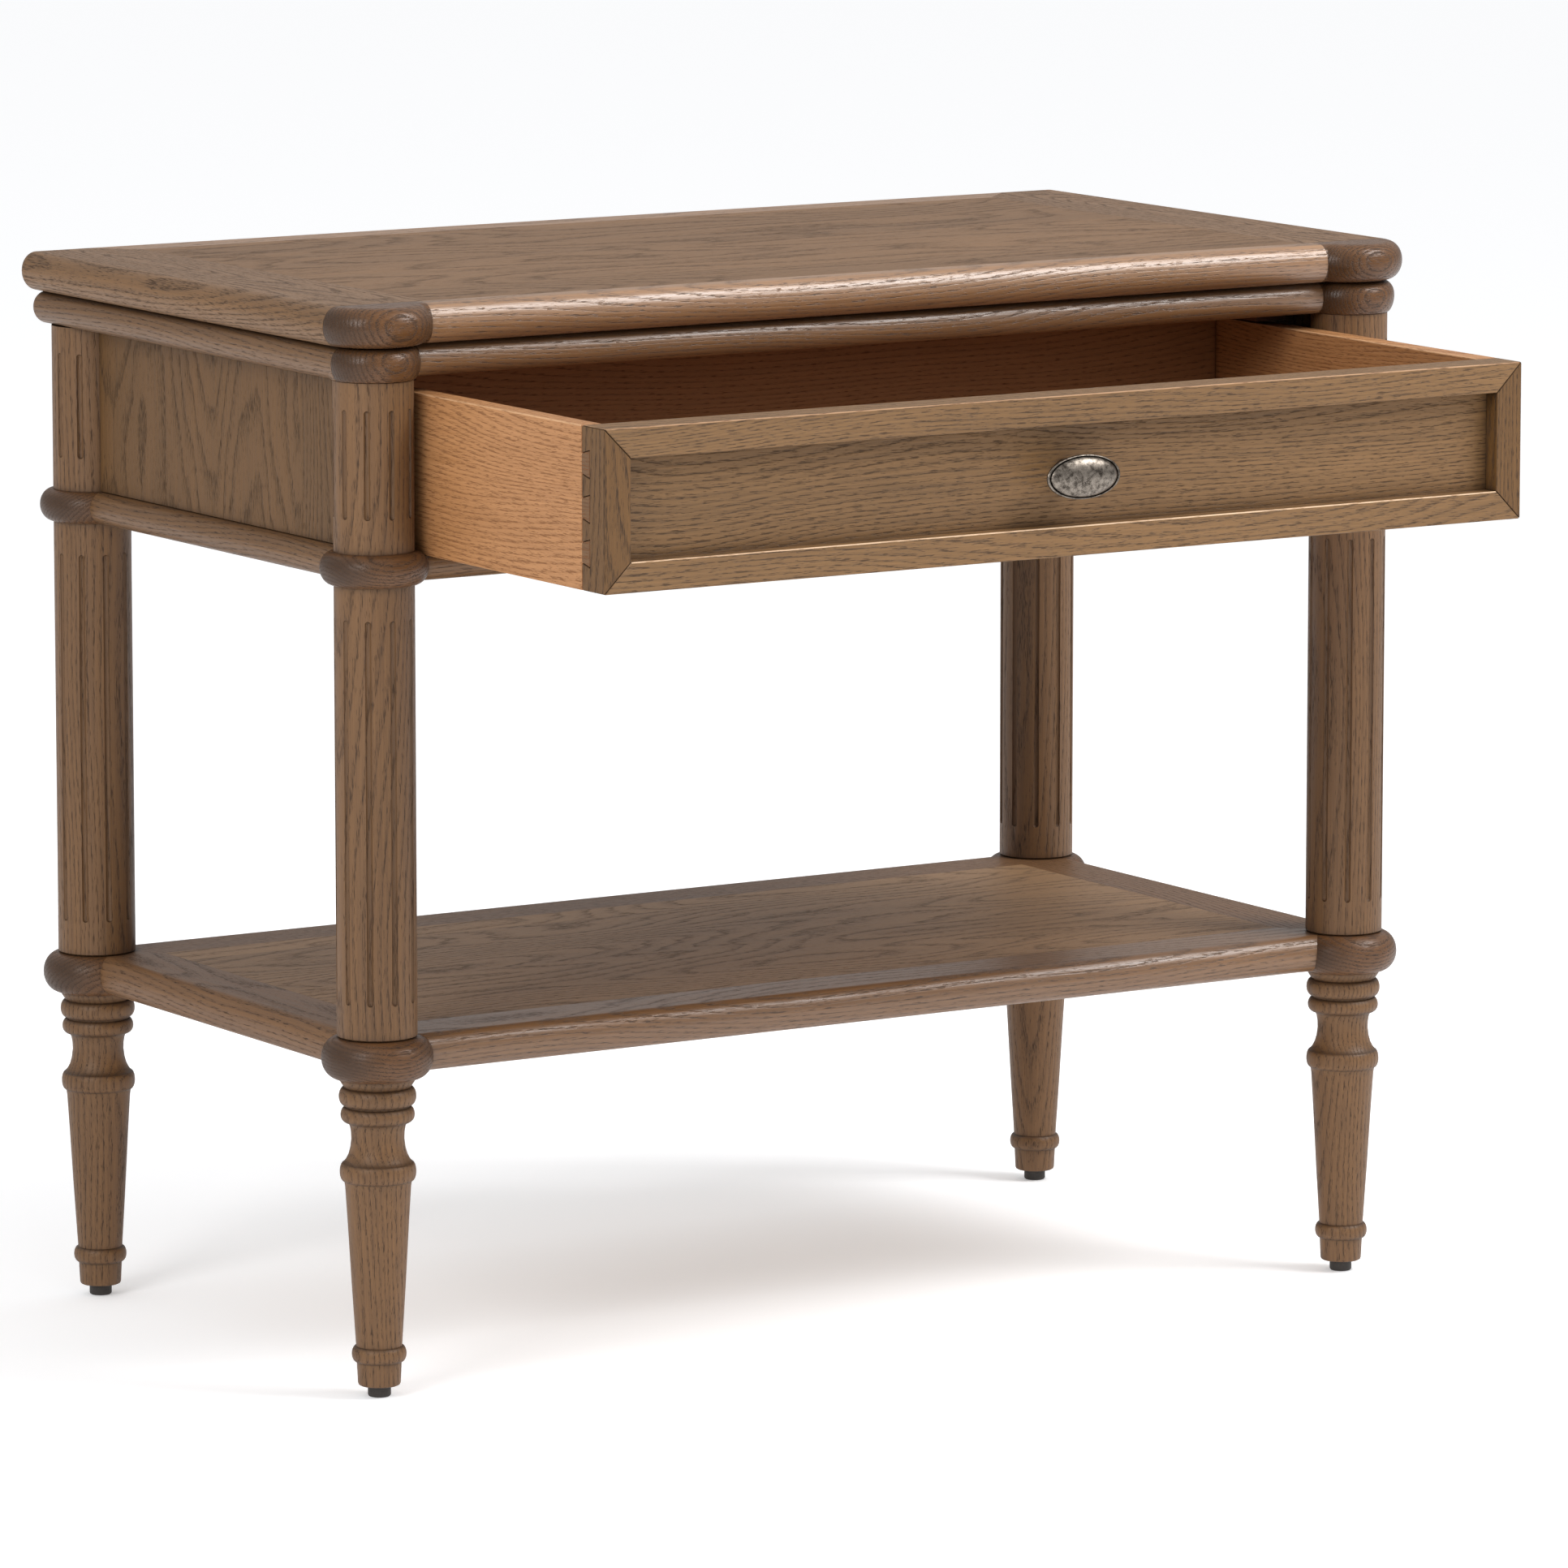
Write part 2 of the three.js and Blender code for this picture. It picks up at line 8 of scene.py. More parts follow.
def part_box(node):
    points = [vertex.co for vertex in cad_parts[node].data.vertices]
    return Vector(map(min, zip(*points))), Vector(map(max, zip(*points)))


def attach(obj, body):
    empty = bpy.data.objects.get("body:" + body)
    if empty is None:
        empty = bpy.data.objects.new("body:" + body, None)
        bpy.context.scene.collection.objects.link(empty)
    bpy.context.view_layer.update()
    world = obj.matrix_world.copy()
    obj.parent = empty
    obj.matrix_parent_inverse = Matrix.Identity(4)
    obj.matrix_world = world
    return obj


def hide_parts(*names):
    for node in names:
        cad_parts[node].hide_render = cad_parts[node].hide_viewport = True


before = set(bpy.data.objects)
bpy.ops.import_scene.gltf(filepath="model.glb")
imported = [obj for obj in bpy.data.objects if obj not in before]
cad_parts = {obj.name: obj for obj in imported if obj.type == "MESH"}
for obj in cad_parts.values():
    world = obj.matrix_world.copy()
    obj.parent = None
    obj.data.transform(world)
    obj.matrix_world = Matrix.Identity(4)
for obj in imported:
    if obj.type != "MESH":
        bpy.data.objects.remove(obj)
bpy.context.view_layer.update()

# --- The studio ---------------------------------------------------------------------------------
# A plain pale floor under soft pale air, with a strong soft window to the right of the front and a
# weaker one to the left. The camera stands to the left of the front, a little above the top.

MM = 0.001
CAMERA_PLACE = (-3.2665, -5.1820, 1.2903)
CAMERA_TURN = 32.081  # degrees to the left of the front
CAMERA_DIP = 8.881  # degrees below level
CAMERA_LENS = 228.97  # mm on a 36 mm sensor

camera_data = bpy.data.cameras.new("view")
camera_data.lens = CAMERA_LENS
camera_data.sensor_width = 36
camera_data.clip_end = 60
camera = bpy.data.objects.new("view", camera_data)
camera.location = CAMERA_PLACE
camera.rotation_euler = Euler((math.radians(90 - CAMERA_DIP), 0, math.radians(-CAMERA_TURN)))
bpy.context.collection.objects.link(camera)
bpy.context.scene.camera = camera


def linear(code, alpha=1.0):
    """An sRGB hex colour such as "8a6f55" as linear red, green, blue and alpha."""
    parts = [int(code[i : i + 2], 16) / 255 for i in (0, 2, 4)]
    return tuple(p / 12.92 if p <= 0.04045 else ((p + 0.055) / 1.055) ** 2.4 for p in parts) + (alpha,)


def add_node(tree, kind, links=None, **settings):
    """Adds one node. A setting is a property of the node or the value of an input, and each link
    names an input (or its number) and the output that feeds it."""
    node = tree.nodes.new(kind)
    for key, value in settings.items():
        if key.startswith("in_"):
            node.inputs[int(key[3:])].default_value = value
        else:
            setattr(node, key, value)
    for key, source in (links or {}).items():
        tree.links.new(source, node.inputs[key])
    return node


def new_material(name):
    """An empty node material and its tree, output and principled shader."""
    material = bpy.data.materials.new(name)
    material.use_nodes = True
    tree = material.node_tree
    tree.nodes.clear()
    shader = add_node(tree, "ShaderNodeBsdfPrincipled")
    add_node(tree, "ShaderNodeOutputMaterial", {"Surface": shader.outputs[0]})
    return material, tree, shader


def only(piece):
    """Selects one object and nothing else."""
    bpy.ops.object.select_all(action="DESELECT")
    piece.select_set(True)
    bpy.context.view_layer.objects.active = piece


FLOOR_SIZE = 60
FLOOR_GLOW = 0.3  # the floor is a light table
only(camera)
bpy.ops.mesh.primitive_plane_add(size=FLOOR_SIZE, location=(0, 0, 0))
floor = bpy.context.object
floor.name = "studio_floor"
floor_paint, tree, shader = new_material("painted_studio_floor")
shader.inputs["Base Color"].default_value = linear("f4f5f7")
shader.inputs["Roughness"].default_value = 0.9
shader.inputs["Emission Color"].default_value = linear("ffffff")
shader.inputs["Emission Strength"].default_value = FLOOR_GLOW
floor.data.materials.append(floor_paint)

# The air of the room is bright overhead and dimmer towards the horizon, so that level wood that is
# seen at a low angle keeps its colour.
ZENITH, HORIZON = 0.8, 0.42
world = bpy.data.worlds.new("studio_air")
world.use_nodes = True
bpy.context.scene.world = world
bpy.context.scene.view_settings.view_transform = "Standard"
tree = world.node_tree
sky = add_node(tree, "ShaderNodeTexCoord").outputs["Generated"]
height = add_node(tree, "ShaderNodeSeparateXYZ", {0: sky}).outputs[2]
glow = add_node(tree, "ShaderNodeMapRange", {0: height}, in_1=0.05, in_2=0.75, in_3=HORIZON, in_4=ZENITH)
tree.nodes["Background"].inputs[0].default_value = linear("ffffff")
tree.links.new(glow.outputs[0], tree.nodes["Background"].inputs[1])


def window(name, place, size, power, target=(0, 0.1, 0.4)):
    """A soft rectangular light that faces the table."""
    data = bpy.data.lights.new(name, "AREA")
    data.shape = "RECTANGLE"
    data.size, data.size_y = size
    data.energy = power
    lamp = bpy.data.objects.new(name, data)
    lamp.location = place
    lamp.rotation_euler = (Vector(target) - Vector(place)).to_track_quat("-Z", "Y").to_euler()
    bpy.context.collection.objects.link(lamp)
    return lamp


# Each window's place and size are in m, and its power is in W.
window("window_right", (1.75, -1.6, 2.7), (1.5, 1.5), 82)
window("window_left", (-3.0, -1.3, 2.0), (1.3, 1.5), 42)

# --- Turned feet --------------------------------------------------------------------------------
# Each foot is one piece of oak turned on a lathe: an ankle ring, a long taper, a collar, a cove
# and two beads under the shelf ring. It is stained brown and rubbed, and its hollows are painted darker:
# partly stain left in them, partly painted shade.

OAK = {"light": "7d5a37", "dark": "49321f", "pore": "2a1b10"}
GRAIN_TURN = {"x": (0, 0, 0), "y": (0, 0, math.pi / 2), "z": (0, math.pi / 2, 0)}
LEVEL_LOG_TURN = (math.pi / 2, 0, 0)  # for a block cut so that its rings show as an eye
# The sizes of the oak's features in mm, along the grain and twice across it.
SWAY = (420, 110, 110)  # the slow bends of the log, which open the rings into arches
RIPPLE = (150, 14, 14)  # the small waves of each ring
FIBRE = (70, 1.1, 1.1)  # fine threads that run with the grain
CLOUD = (380, 34, 34)  # broad lighter and darker patches left by the stain
PORES = (6.5, 0.42, 0.42)  # open pores; real ones are finer and wouldn't show
SWAY_ACROSS = 0.05  # m, how far the bends move the rings sideways
SWAY_DEEP = 0.06  # m, and up and down
RIPPLE_DEPTH = 1.3  # rings
BOARD_SHIFT = 2.3  # m along the grain from one board of a plank to the next
BOARD_LIFT = 0.06  # m, how much deeper the log of one board lies than another's
BOARD_OFF_CENTRE = 0.9  # boards
BOARD_TINT = 0.22
PORE_EDGE = 0.13  # how softly a pore ends
PORE_DARKNESS = 0.72
PORE_LEAN = 0.2  # how much the pores crowd into the early wood of each ring
SHADE_AND_GLAZE_REACH = 4.5  # mm; how far from a hollow's floor its walls are darkened, by stain held there and by painted shade
# How dark the hollows get: stain held there, and painted shade.
SHADE_AND_GLAZE_DARKNESS = 0.62
END_GRAIN_DARKNESS = 0.66
RELIEF = 0.35  # mm, the depth of the open grain


def oak(
    name,
    grain,
    light,
    dark,
    pore,
    offset=(0, 0, 0),
    plank=None,
    rough=0.5,
    pith=38,
    gloss=0.4,
    figure=1.0,
    pores=0.6,
    ring_width=3.4,
    rolled=False,
    stain_line=None,
):
    """Open-grained oak as a solid block. grain is the way its fibres run, plank the width of the
    boards across it in mm, pith how far the middle of the log lies below it in mm, figure how much
    the rings wander, pores how few pores there are, and stain_line where a second stain begins."""
    material, tree, shader = new_material(name)
    place = add_node(tree, "ShaderNodeTexCoord")
    where, normal = place.outputs["Object"], place.outputs["Normal"]
    placed = add_node(tree, "ShaderNodeMapping", {"Vector": where}, in_1=tuple(v * MM for v in offset))
    by_angles = {"rotation_type": "EULER_XYZ"}
    turned_to = add_node(tree, "ShaderNodeVectorRotate", {"Vector": placed.outputs[0]}, **by_angles)
    grain_turn = LEVEL_LOG_TURN if rolled else GRAIN_TURN[grain]
    turned_to.inputs["Rotation"].default_value = grain_turn
    axes = add_node(tree, "ShaderNodeSeparateXYZ", {0: turned_to.outputs[0]})
    u, v, w = axes.outputs

    def sums(operation, a, b, c=None):
        node = add_node(tree, "ShaderNodeMath", operation=operation)
        for slot, value in enumerate((a, b, c)):
            if isinstance(value, (int, float)):
                node.inputs[slot].default_value = value
            elif value is not None:
                tree.links.new(value, node.inputs[slot])
        return node.outputs[0]

    def noise(size, detail):
        """Noise whose blobs are `size` = (along, across, across) mm."""
        scale = add_node(tree, "ShaderNodeMapping", {"Vector": grain_place}, vector_type="POINT")
        scale.inputs["Scale"].default_value = tuple(1 / (s * MM) for s in size)
        return add_node(tree, "ShaderNodeTexNoise", {"Vector": scale.outputs[0]}, in_2=1.0, in_3=detail)

    # Each board of a plank is cut from its own part of the log, and takes the stain its own way.
    if plank:
        board = sums("FLOOR", sums("DIVIDE", v, plank * MM), 0)
        luck = add_node(tree, "ShaderNodeTexWhiteNoise", {"W": board}, noise_dimensions="1D").outputs["Value"]
        u = sums("ADD", u, sums("MULTIPLY", luck, BOARD_SHIFT))
        middle = sums("MULTIPLY", sums("ADD", board, sums("MULTIPLY", luck, BOARD_OFF_CENTRE)), plank * MM)
        across = sums("SUBTRACT", v, middle)
        depth = sums("ADD", w, sums("MULTIPLY_ADD", luck, BOARD_LIFT, pith * MM))
    else:
        luck = None
        across = v
        depth = sums("ADD", w, pith * MM)
    grain_place = add_node(tree, "ShaderNodeCombineXYZ", {0: u, 1: v, 2: w}).outputs[0]

    # The growth rings lie round the log: pale and porous where they begin, dense and dark later.
    sway = add_node(tree, "ShaderNodeSeparateXYZ", {0: noise(SWAY, 1).outputs["Color"]})
    across = sums("MULTIPLY_ADD", sums("SUBTRACT", sway.outputs[0], 0.5), SWAY_ACROSS * figure, across)
    depth = sums("MULTIPLY_ADD", sums("SUBTRACT", sway.outputs[1], 0.5), SWAY_DEEP * figure, depth)
    in_log = add_node(tree, "ShaderNodeCombineXYZ", {0: across, 1: depth}).outputs[0]
    from_pith = add_node(tree, "ShaderNodeVectorMath", {0: in_log}, operation="LENGTH").outputs["Value"]
    ripple = sums("MULTIPLY", noise(RIPPLE, 3).outputs["Fac"], RIPPLE_DEPTH)
    rings = sums("MULTIPLY_ADD", from_pith, 1 / (ring_width * MM), ripple)
    late = add_node(tree, "ShaderNodeValToRGB", {"Fac": sums("FRACT", rings, 0)})
    late.color_ramp.elements[0].position = 0.0
    late.color_ramp.elements[0].color = (0, 0, 0, 1)
    late.color_ramp.elements[1].position = 0.9
    late.color_ramp.elements[1].color = (0.8, 0.8, 0.8, 1)
    for position, value in ((0.22, 0.42), (0.55, 0.9), (0.97, 0.25)):
        late.color_ramp.elements.new(position).color = (value, value, value, 1)

    # Stained wood between its light and its dark tone.
    fibre = noise(FIBRE, 4).outputs["Fac"]
    cloud = noise(CLOUD, 3).outputs["Fac"]
    tone = sums("MULTIPLY_ADD", fibre, 0.8, sums("MULTIPLY", late.outputs["Color"], 0.2))
    tone = sums("MULTIPLY_ADD", cloud, 0.5, sums("SUBTRACT", tone, 0.22))
    if luck is not None:
        tone = sums("MULTIPLY_ADD", sums("SUBTRACT", luck, 0.5), BOARD_TINT, tone)
    wood = add_node(tree, "ShaderNodeMix", {0: tone}, data_type="RGBA", clamp_factor=True)
    wood.inputs[6].default_value = linear(dark)
    wood.inputs[7].default_value = linear(light)
    if stain_line:
        way_back = add_node(tree, "ShaderNodeSeparateXYZ", {0: where}).outputs[1]
        ahead = sums("LESS_THAN", way_back, stain_line["before"])
        stain = add_node(tree, "ShaderNodeMix", {0: tone}, data_type="RGBA", clamp_factor=True)
        stain.inputs[6].default_value = linear(stain_line["dark"])
        stain.inputs[7].default_value = linear(stain_line["light"])
        both = {0: ahead, 6: wood.outputs[2], 7: stain.outputs[2]}
        wood = add_node(tree, "ShaderNodeMix", both, data_type="RGBA")

    # Dark stain left in the pores and soaked into the end grain; in hollows and corners the colour is darkened
    # as well, partly stain left there and partly painted shade.
    streak = noise(PORES, 1.5).outputs["Fac"]
    early = sums("MULTIPLY_ADD", late.outputs["Color"], PORE_LEAN, pores - 0.14)
    pore_cut = add_node(tree, "ShaderNodeMapRange", {0: streak, 1: early}, interpolation_type="SMOOTHSTEP")
    tree.links.new(sums("ADD", early, PORE_EDGE), pore_cut.inputs[2])
    # Painted shade: the more shut in a surface is, the darker its colour.
    shut_in = add_node(tree, "ShaderNodeAmbientOcclusion", samples=4, in_1=SHADE_AND_GLAZE_REACH * MM).outputs["AO"]
    shade_and_glaze = {"in_1": 0.92, "in_2": 0.4, "in_3": 0.0, "in_4": SHADE_AND_GLAZE_DARKNESS}
    hollow = add_node(tree, "ShaderNodeMapRange", {0: shut_in}, **shade_and_glaze)
    stain_and_shade = sums("MAXIMUM", sums("MULTIPLY", pore_cut.outputs[0], PORE_DARKNESS), hollow.outputs[0])
    facing = add_node(tree, "ShaderNodeVectorRotate", {"Vector": normal}, **by_angles)
    facing.inputs["Rotation"].default_value = grain_turn
    endwise = sums("ABSOLUTE", add_node(tree, "ShaderNodeSeparateXYZ", {0: facing.outputs[0]}).outputs[0], 0)
    ends = {"in_1": 0.35, "in_2": 0.85, "in_3": 0.0, "in_4": END_GRAIN_DARKNESS}
    thirsty = add_node(tree, "ShaderNodeMapRange", {0: endwise}, **ends)
    stain_and_shade = sums("MAXIMUM", stain_and_shade, thirsty.outputs[0])
    stained = add_node(tree, "ShaderNodeMix", {0: stain_and_shade, 6: wood.outputs[2]}, data_type="RGBA")
    stained.inputs[7].default_value = linear(pore)
    tree.links.new(stained.outputs[2], shader.inputs["Base Color"])

    # Satin lacquer, duller over the pores, that follows the open grain.
    sheen = sums("MULTIPLY_ADD", pore_cut.outputs[0], 0.25, sums("MULTIPLY_ADD", fibre, 0.22, rough - 0.11))
    tree.links.new(sheen, shader.inputs["Roughness"])
    relief = sums("SUBTRACT", sums("MULTIPLY", fibre, 0.5), pore_cut.outputs[0])
    relief = sums("MULTIPLY_ADD", late.outputs["Color"], 0.4, relief)
    bump = add_node(tree, "ShaderNodeBump", {"Height": relief}, in_0=0.55, in_1=RELIEF * MM)
    tree.links.new(bump.outputs[0], shader.inputs["Normal"])
    shader.inputs["Specular IOR Level"].default_value = gloss
    return material


def turn(name, profile, place, segments=96):
    """A turned piece: a disc that is drawn up and scaled from each (radius, height) in mm to the
    next, standing at place."""
    bpy.ops.object.select_all(action="DESELECT")
    x, y = place
    radius, height = profile[0]
    bpy.ops.mesh.primitive_circle_add(
        vertices=segments, radius=radius * MM, fill_type="NGON", location=(x, y, height * MM)
    )
    piece = bpy.context.object
    piece.name = name
    bpy.ops.object.transform_apply(location=True, rotation=True, scale=True)
    bpy.ops.object.mode_set(mode="EDIT")
    bpy.ops.mesh.select_all(action="SELECT")
    for radius_next, height_next in profile[1:]:
        bpy.ops.mesh.extrude_region_move(
            TRANSFORM_OT_translate={"value": (0, 0, (height_next - height) * MM)}
        )
        size = radius_next / radius
        bpy.ops.transform.resize(value=(size, size, 1), center_override=(x, y, height_next * MM))
        radius, height = radius_next, height_next
    bpy.ops.mesh.select_all(action="SELECT")
    bpy.ops.mesh.remove_doubles(threshold=0.001 * MM)
    bpy.ops.mesh.normals_make_consistent(inside=False)
    bpy.ops.object.mode_set(mode="OBJECT")
    bpy.ops.object.shade_smooth_by_angle(angle=math.radians(38))
    return piece


def roll(r0, z0, r1, z1, out, steps=14):
    """Points of a half-round moulding from (r0, z0) to (r1, z1) that swells, or sinks, to out."""
    points = []
    for i in range(steps + 1):
        swing = math.pi * i / steps
        base = r0 + (r1 - r0) * i / steps
        radius = base + (out - base) * math.sin(swing)
        points.append((radius, (z0 + z1) / 2 - (z1 - z0) / 2 * math.cos(swing)))
    return points


def copied(piece, name, shift):
    """Another of a piece, with its own mesh, moved by shift."""
    only(piece)
    bpy.ops.object.duplicate()
    twin = bpy.context.object
    twin.name = name
    bpy.ops.transform.translate(value=shift)
    bpy.ops.object.transform_apply(location=True, rotation=True, scale=True)
    return twin


def centre(node):
    """The middle of a node's box."""
    low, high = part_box(node)
    return (Vector(low) + Vector(high)) / 2


def finished(piece, node, material=None, body="case"):
    """Gives a piece its finish, its body and the node that it stands for."""
    if material:
        piece.data.materials.clear()
        piece.data.materials.append(material)
    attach(piece, body)
    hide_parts(node)


CORNERS = ("front_left", "front_right", "back_left", "back_right")
FOOT = "foot_front_left"
foot_low, foot_high = (c[2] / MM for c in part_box(FOOT))
COLLAR_R = (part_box(FOOT)[1][0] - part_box(FOOT)[0][0]) / 2 / MM  # the widest bead
# Each point is a radius and a height in mm.
foot_profile = [
    (11.6, foot_low),
    (12.5, foot_low + 0.5),
    (12.9, foot_low + 1.6),
    (13.5, foot_low + 13.6),
    *roll(13.6, 21.4, 13.9, 31.2, 16.5),
    (14.05, 34),
    (16.2, 68),
    (18.5, 108),
    (19.8, 128.5),
    (20.2, 131.2),
    *roll(20.6, 132.2, 20.8, 143.4, 23.0),
    (19.2, 145.4),
    (17.7, 148.4),
    (16.6, 152.4),
    (15.95, 157.6),
    (16.1, 161.8),
    (16.7, 165.4),
    (17.6, 167.4),
    *roll(18.0, 167.8, 19.4, 177.4, 22.3),
    *roll(19.6, 178.2, 20.1, 189.4, COLLAR_R),
    (21.6, 191.6),
    (22.7, 193.4),
    (22.9, foot_high),
]
foot_place = centre(FOOT).xy
foot = turn("turned_foot", foot_profile, foot_place)
for number, corner in enumerate(CORNERS):
    shift = centre(f"foot_{corner}").xy - foot_place
    piece = copied(foot, f"turned_foot_{corner}", (*shift, 0))
    placing = {"offset": (37 * number, 61 * number, 83 * number), "pith": 9}
    wood = oak(f"oak_foot_{corner}", "z", **OAK, **placing)
    finished(piece, f"foot_{corner}", wood)
bpy.data.objects.remove(foot)

# --- Shelf rings and apron rings ----------------------------------------------------------------
# The round swellings at the corners of the shelf and of the apron, turned from oak blocks whose
# grain lies flat. The half-round edge runs straight out from the post. The front two of the apron
# are notched where the drawer passes them.


RING_STEPS = 20  # round the edge of a ring


def ring_profile(node, nose):
    """The half-round edge of a round corner block, in mm."""
    low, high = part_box(node)
    out = (high[0] - low[0]) / 2 / MM
    flat = out - nose
    bottom, top_face = low[2] / MM, high[2] / MM
    edge = roll(flat, bottom, flat, top_face, out, RING_STEPS)
    return [(flat * 0.5, bottom), *edge, (flat * 0.5, top_face)]


def drawer_path(middle):
    """A cutter for the room that the drawer needs beside a front ring."""
    drawer_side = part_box("drawer_front_stile_right")[1][0] + DRAWER_ROOM * MM
    drawer_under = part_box("drawer_front_rail_bottom")[0][2] - DRAWER_ROOM * MM
    tall = 60 * MM
    bpy.ops.object.select_all(action="DESELECT")
    bpy.ops.mesh.primitive_cube_add(size=1, location=(0, middle.y, drawer_under + tall / 2))
    path = bpy.context.object
    path.scale = (2 * drawer_side, 2 * tall, tall)
    bpy.ops.object.transform_apply(location=True, rotation=True, scale=True)
    return path


def carve(piece, cutter, operation="DIFFERENCE"):
    """Cuts one solid from a piece, or joins it to the piece, and clears it away."""
    only(piece)
    tool = piece.modifiers.new("carve", "BOOLEAN")
    tool.operation = operation
    tool.solver = "EXACT"
    tool.object = cutter
    bpy.ops.object.modifier_apply(modifier=tool.name)
    bpy.data.objects.remove(cutter)


RING_OAK = {"light": "714c2c", "dark": "412a17", "pore": "26180d"}
DRAWER_ROOM = 0.3  # mm
SHELF_RING_NOSE = 10  # mm, the depth of the half-round
APRON_RING_NOSE = 8.1
for kind, nose in (("shelf", SHELF_RING_NOSE), ("apron", APRON_RING_NOSE)):
    for number, corner in enumerate(CORNERS):
        node = f"{kind}_ring_{corner}"
        # The back rings are whole, so every ring takes its shape from the back one on its side.
        whole = node.replace("front", "back")
        place = centre(f"post_{corner}").xy
        piece = turn(f"{kind}_corner_{corner}", ring_profile(whole, nose), place)
        if whole != node and kind == "apron":
            carve(piece, drawer_path(place))
            bpy.ops.object.shade_smooth_by_angle(angle=math.radians(38))
        placing = {"offset": (91 * number, 47 * number + 20, 0), "pith": 25, "pores": 0.55, "ring_width": 2.6}
        wood = oak(f"oak_{kind}_ring_{corner}", "x", **RING_OAK, **placing, rough=0.4)
        finished(piece, node, wood)

# --- Glides -------------------------------------------------------------------------------------
# A dark moulded plastic pad, nailed in under each foot.

# Dull, faintly speckled plastic.
glide_plastic, tree, shader = new_material("moulded_plastic_glide")
speck = add_node(tree, "ShaderNodeTexCoord").outputs["Object"]
grit = add_node(tree, "ShaderNodeTexNoise", {"Vector": speck}, in_2=900.0, in_3=3.0)
shade = add_node(tree, "ShaderNodeMix", {0: grit.outputs["Fac"]}, data_type="RGBA")
shade.inputs[6].default_value = linear("1d1916")
shade.inputs[7].default_value = linear("3a332d")
tree.links.new(shade.outputs[2], shader.inputs["Base Color"])
shader.inputs["Roughness"].default_value = 0.6
glide_low, glide_high = (c[2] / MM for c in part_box("glide_front_left"))
GLIDE_R = 7
glide_profile = [
    (GLIDE_R - 1.6, glide_low),
    (GLIDE_R - 0.8, glide_low + 0.15),
    (GLIDE_R - 0.2, glide_low + 0.7),
    (GLIDE_R, glide_low + 1.5),
    (GLIDE_R, glide_high),
]
for corner in CORNERS:
    piece = turn(f"glide_pad_{corner}", glide_profile, centre(f"glide_{corner}").xy, 48)
    finished(piece, f"glide_{corner}", glide_plastic)

# --- Fluted posts -------------------------------------------------------------------------------
# Each post is a turned oak bar with ten narrow stopped flutes in two runs, one below the apron
# and one beside the drawer, cut with a round-nosed cutter that leaves round ends.

FLUTES = 10
FLUTE_R = 2.0  # mm, of the cutter
FLUTE_SUNK = 0.45  # how far the cutter's middle lies outside the post's face
FLUTE_RUNS = ((241.5, 473.5), (533.5, 599.0))
FIRST_FLUTE = {"front_left": -93, "front_right": -84, "back_left": -99, "back_right": -88}
post_low, post_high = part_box("post_front_left")
POST_R = (post_high[0] - post_low[0]) / 2 / MM
post_place = centre("post_front_left").xy
post_profile = [
    (POST_R - 0.8, post_low[2] / MM),
    (POST_R, post_low[2] / MM + 0.8),
    (POST_R, post_high[2] / MM),
]


post = turn("fluted_post", post_profile, post_place, 180)
for low_end, high_end in FLUTE_RUNS:
    bpy.ops.object.select_all(action="DESELECT")
    bpy.ops.mesh.primitive_uv_sphere_add(
        segments=20, ring_count=12, radius=FLUTE_R * MM, location=(0, 0, (low_end + FLUTE_R) * MM)
    )
    nib = bpy.context.object
    bpy.ops.object.transform_apply(location=True, rotation=True, scale=True)
    bpy.ops.object.mode_set(mode="EDIT")
    bpy.ops.mesh.select_all(action="DESELECT")
    shape = bmesh.from_edit_mesh(nib.data)
    for vertex in shape.verts:
        vertex.select = vertex.co.z > (low_end + FLUTE_R + 0.01) * MM
    shape.select_flush(True)
    bmesh.update_edit_mesh(nib.data)
    bpy.ops.transform.translate(value=(0, 0, (high_end - low_end - 2 * FLUTE_R) * MM))
    bpy.ops.mesh.select_all(action="SELECT")
    bpy.ops.transform.translate(value=(0, -(POST_R + FLUTE_SUNK) * MM, 0))
    for step in range(FLUTES - 1):
        bpy.ops.mesh.duplicate()
        bpy.ops.transform.rotate(value=math.tau / FLUTES, orient_axis="Z", center_override=(0, 0, 0))
    bpy.ops.mesh.select_all(action="SELECT")
    bpy.ops.transform.translate(value=(*post_place, 0))
    bpy.ops.object.mode_set(mode="OBJECT")
    carve(post, nib)
only(post)
bpy.ops.object.shade_smooth_by_angle(angle=math.radians(30))
for number, corner in enumerate(CORNERS):
    place = centre(f"post_{corner}").xy
    piece = copied(post, f"fluted_post_{corner}", (*(place - post_place), 0))
    bpy.ops.object.mode_set(mode="EDIT")
    bpy.ops.mesh.select_all(action="SELECT")
    bpy.ops.transform.rotate(
        value=-math.radians(FIRST_FLUTE[corner] + 90), orient_axis="Z", center_override=(*place, 0)
    )
    bpy.ops.object.mode_set(mode="OBJECT")
    placing = {"offset": (53 * number, 29 * number, 211 * number), "pith": 20}
    wood = oak(f"oak_post_{corner}", "z", **OAK, **placing)
    finished(piece, f"post_{corner}", wood)
bpy.data.objects.remove(post)

# --- Shelf --------------------------------------------------------------------------------------
# A board veneered in brown oak inside a border, lipped all round with a solid half-round nosing
# that dies into the corner rings.

NOSE_STEPS = 10
SEAM = 0.04  # mm left open at a glued joint


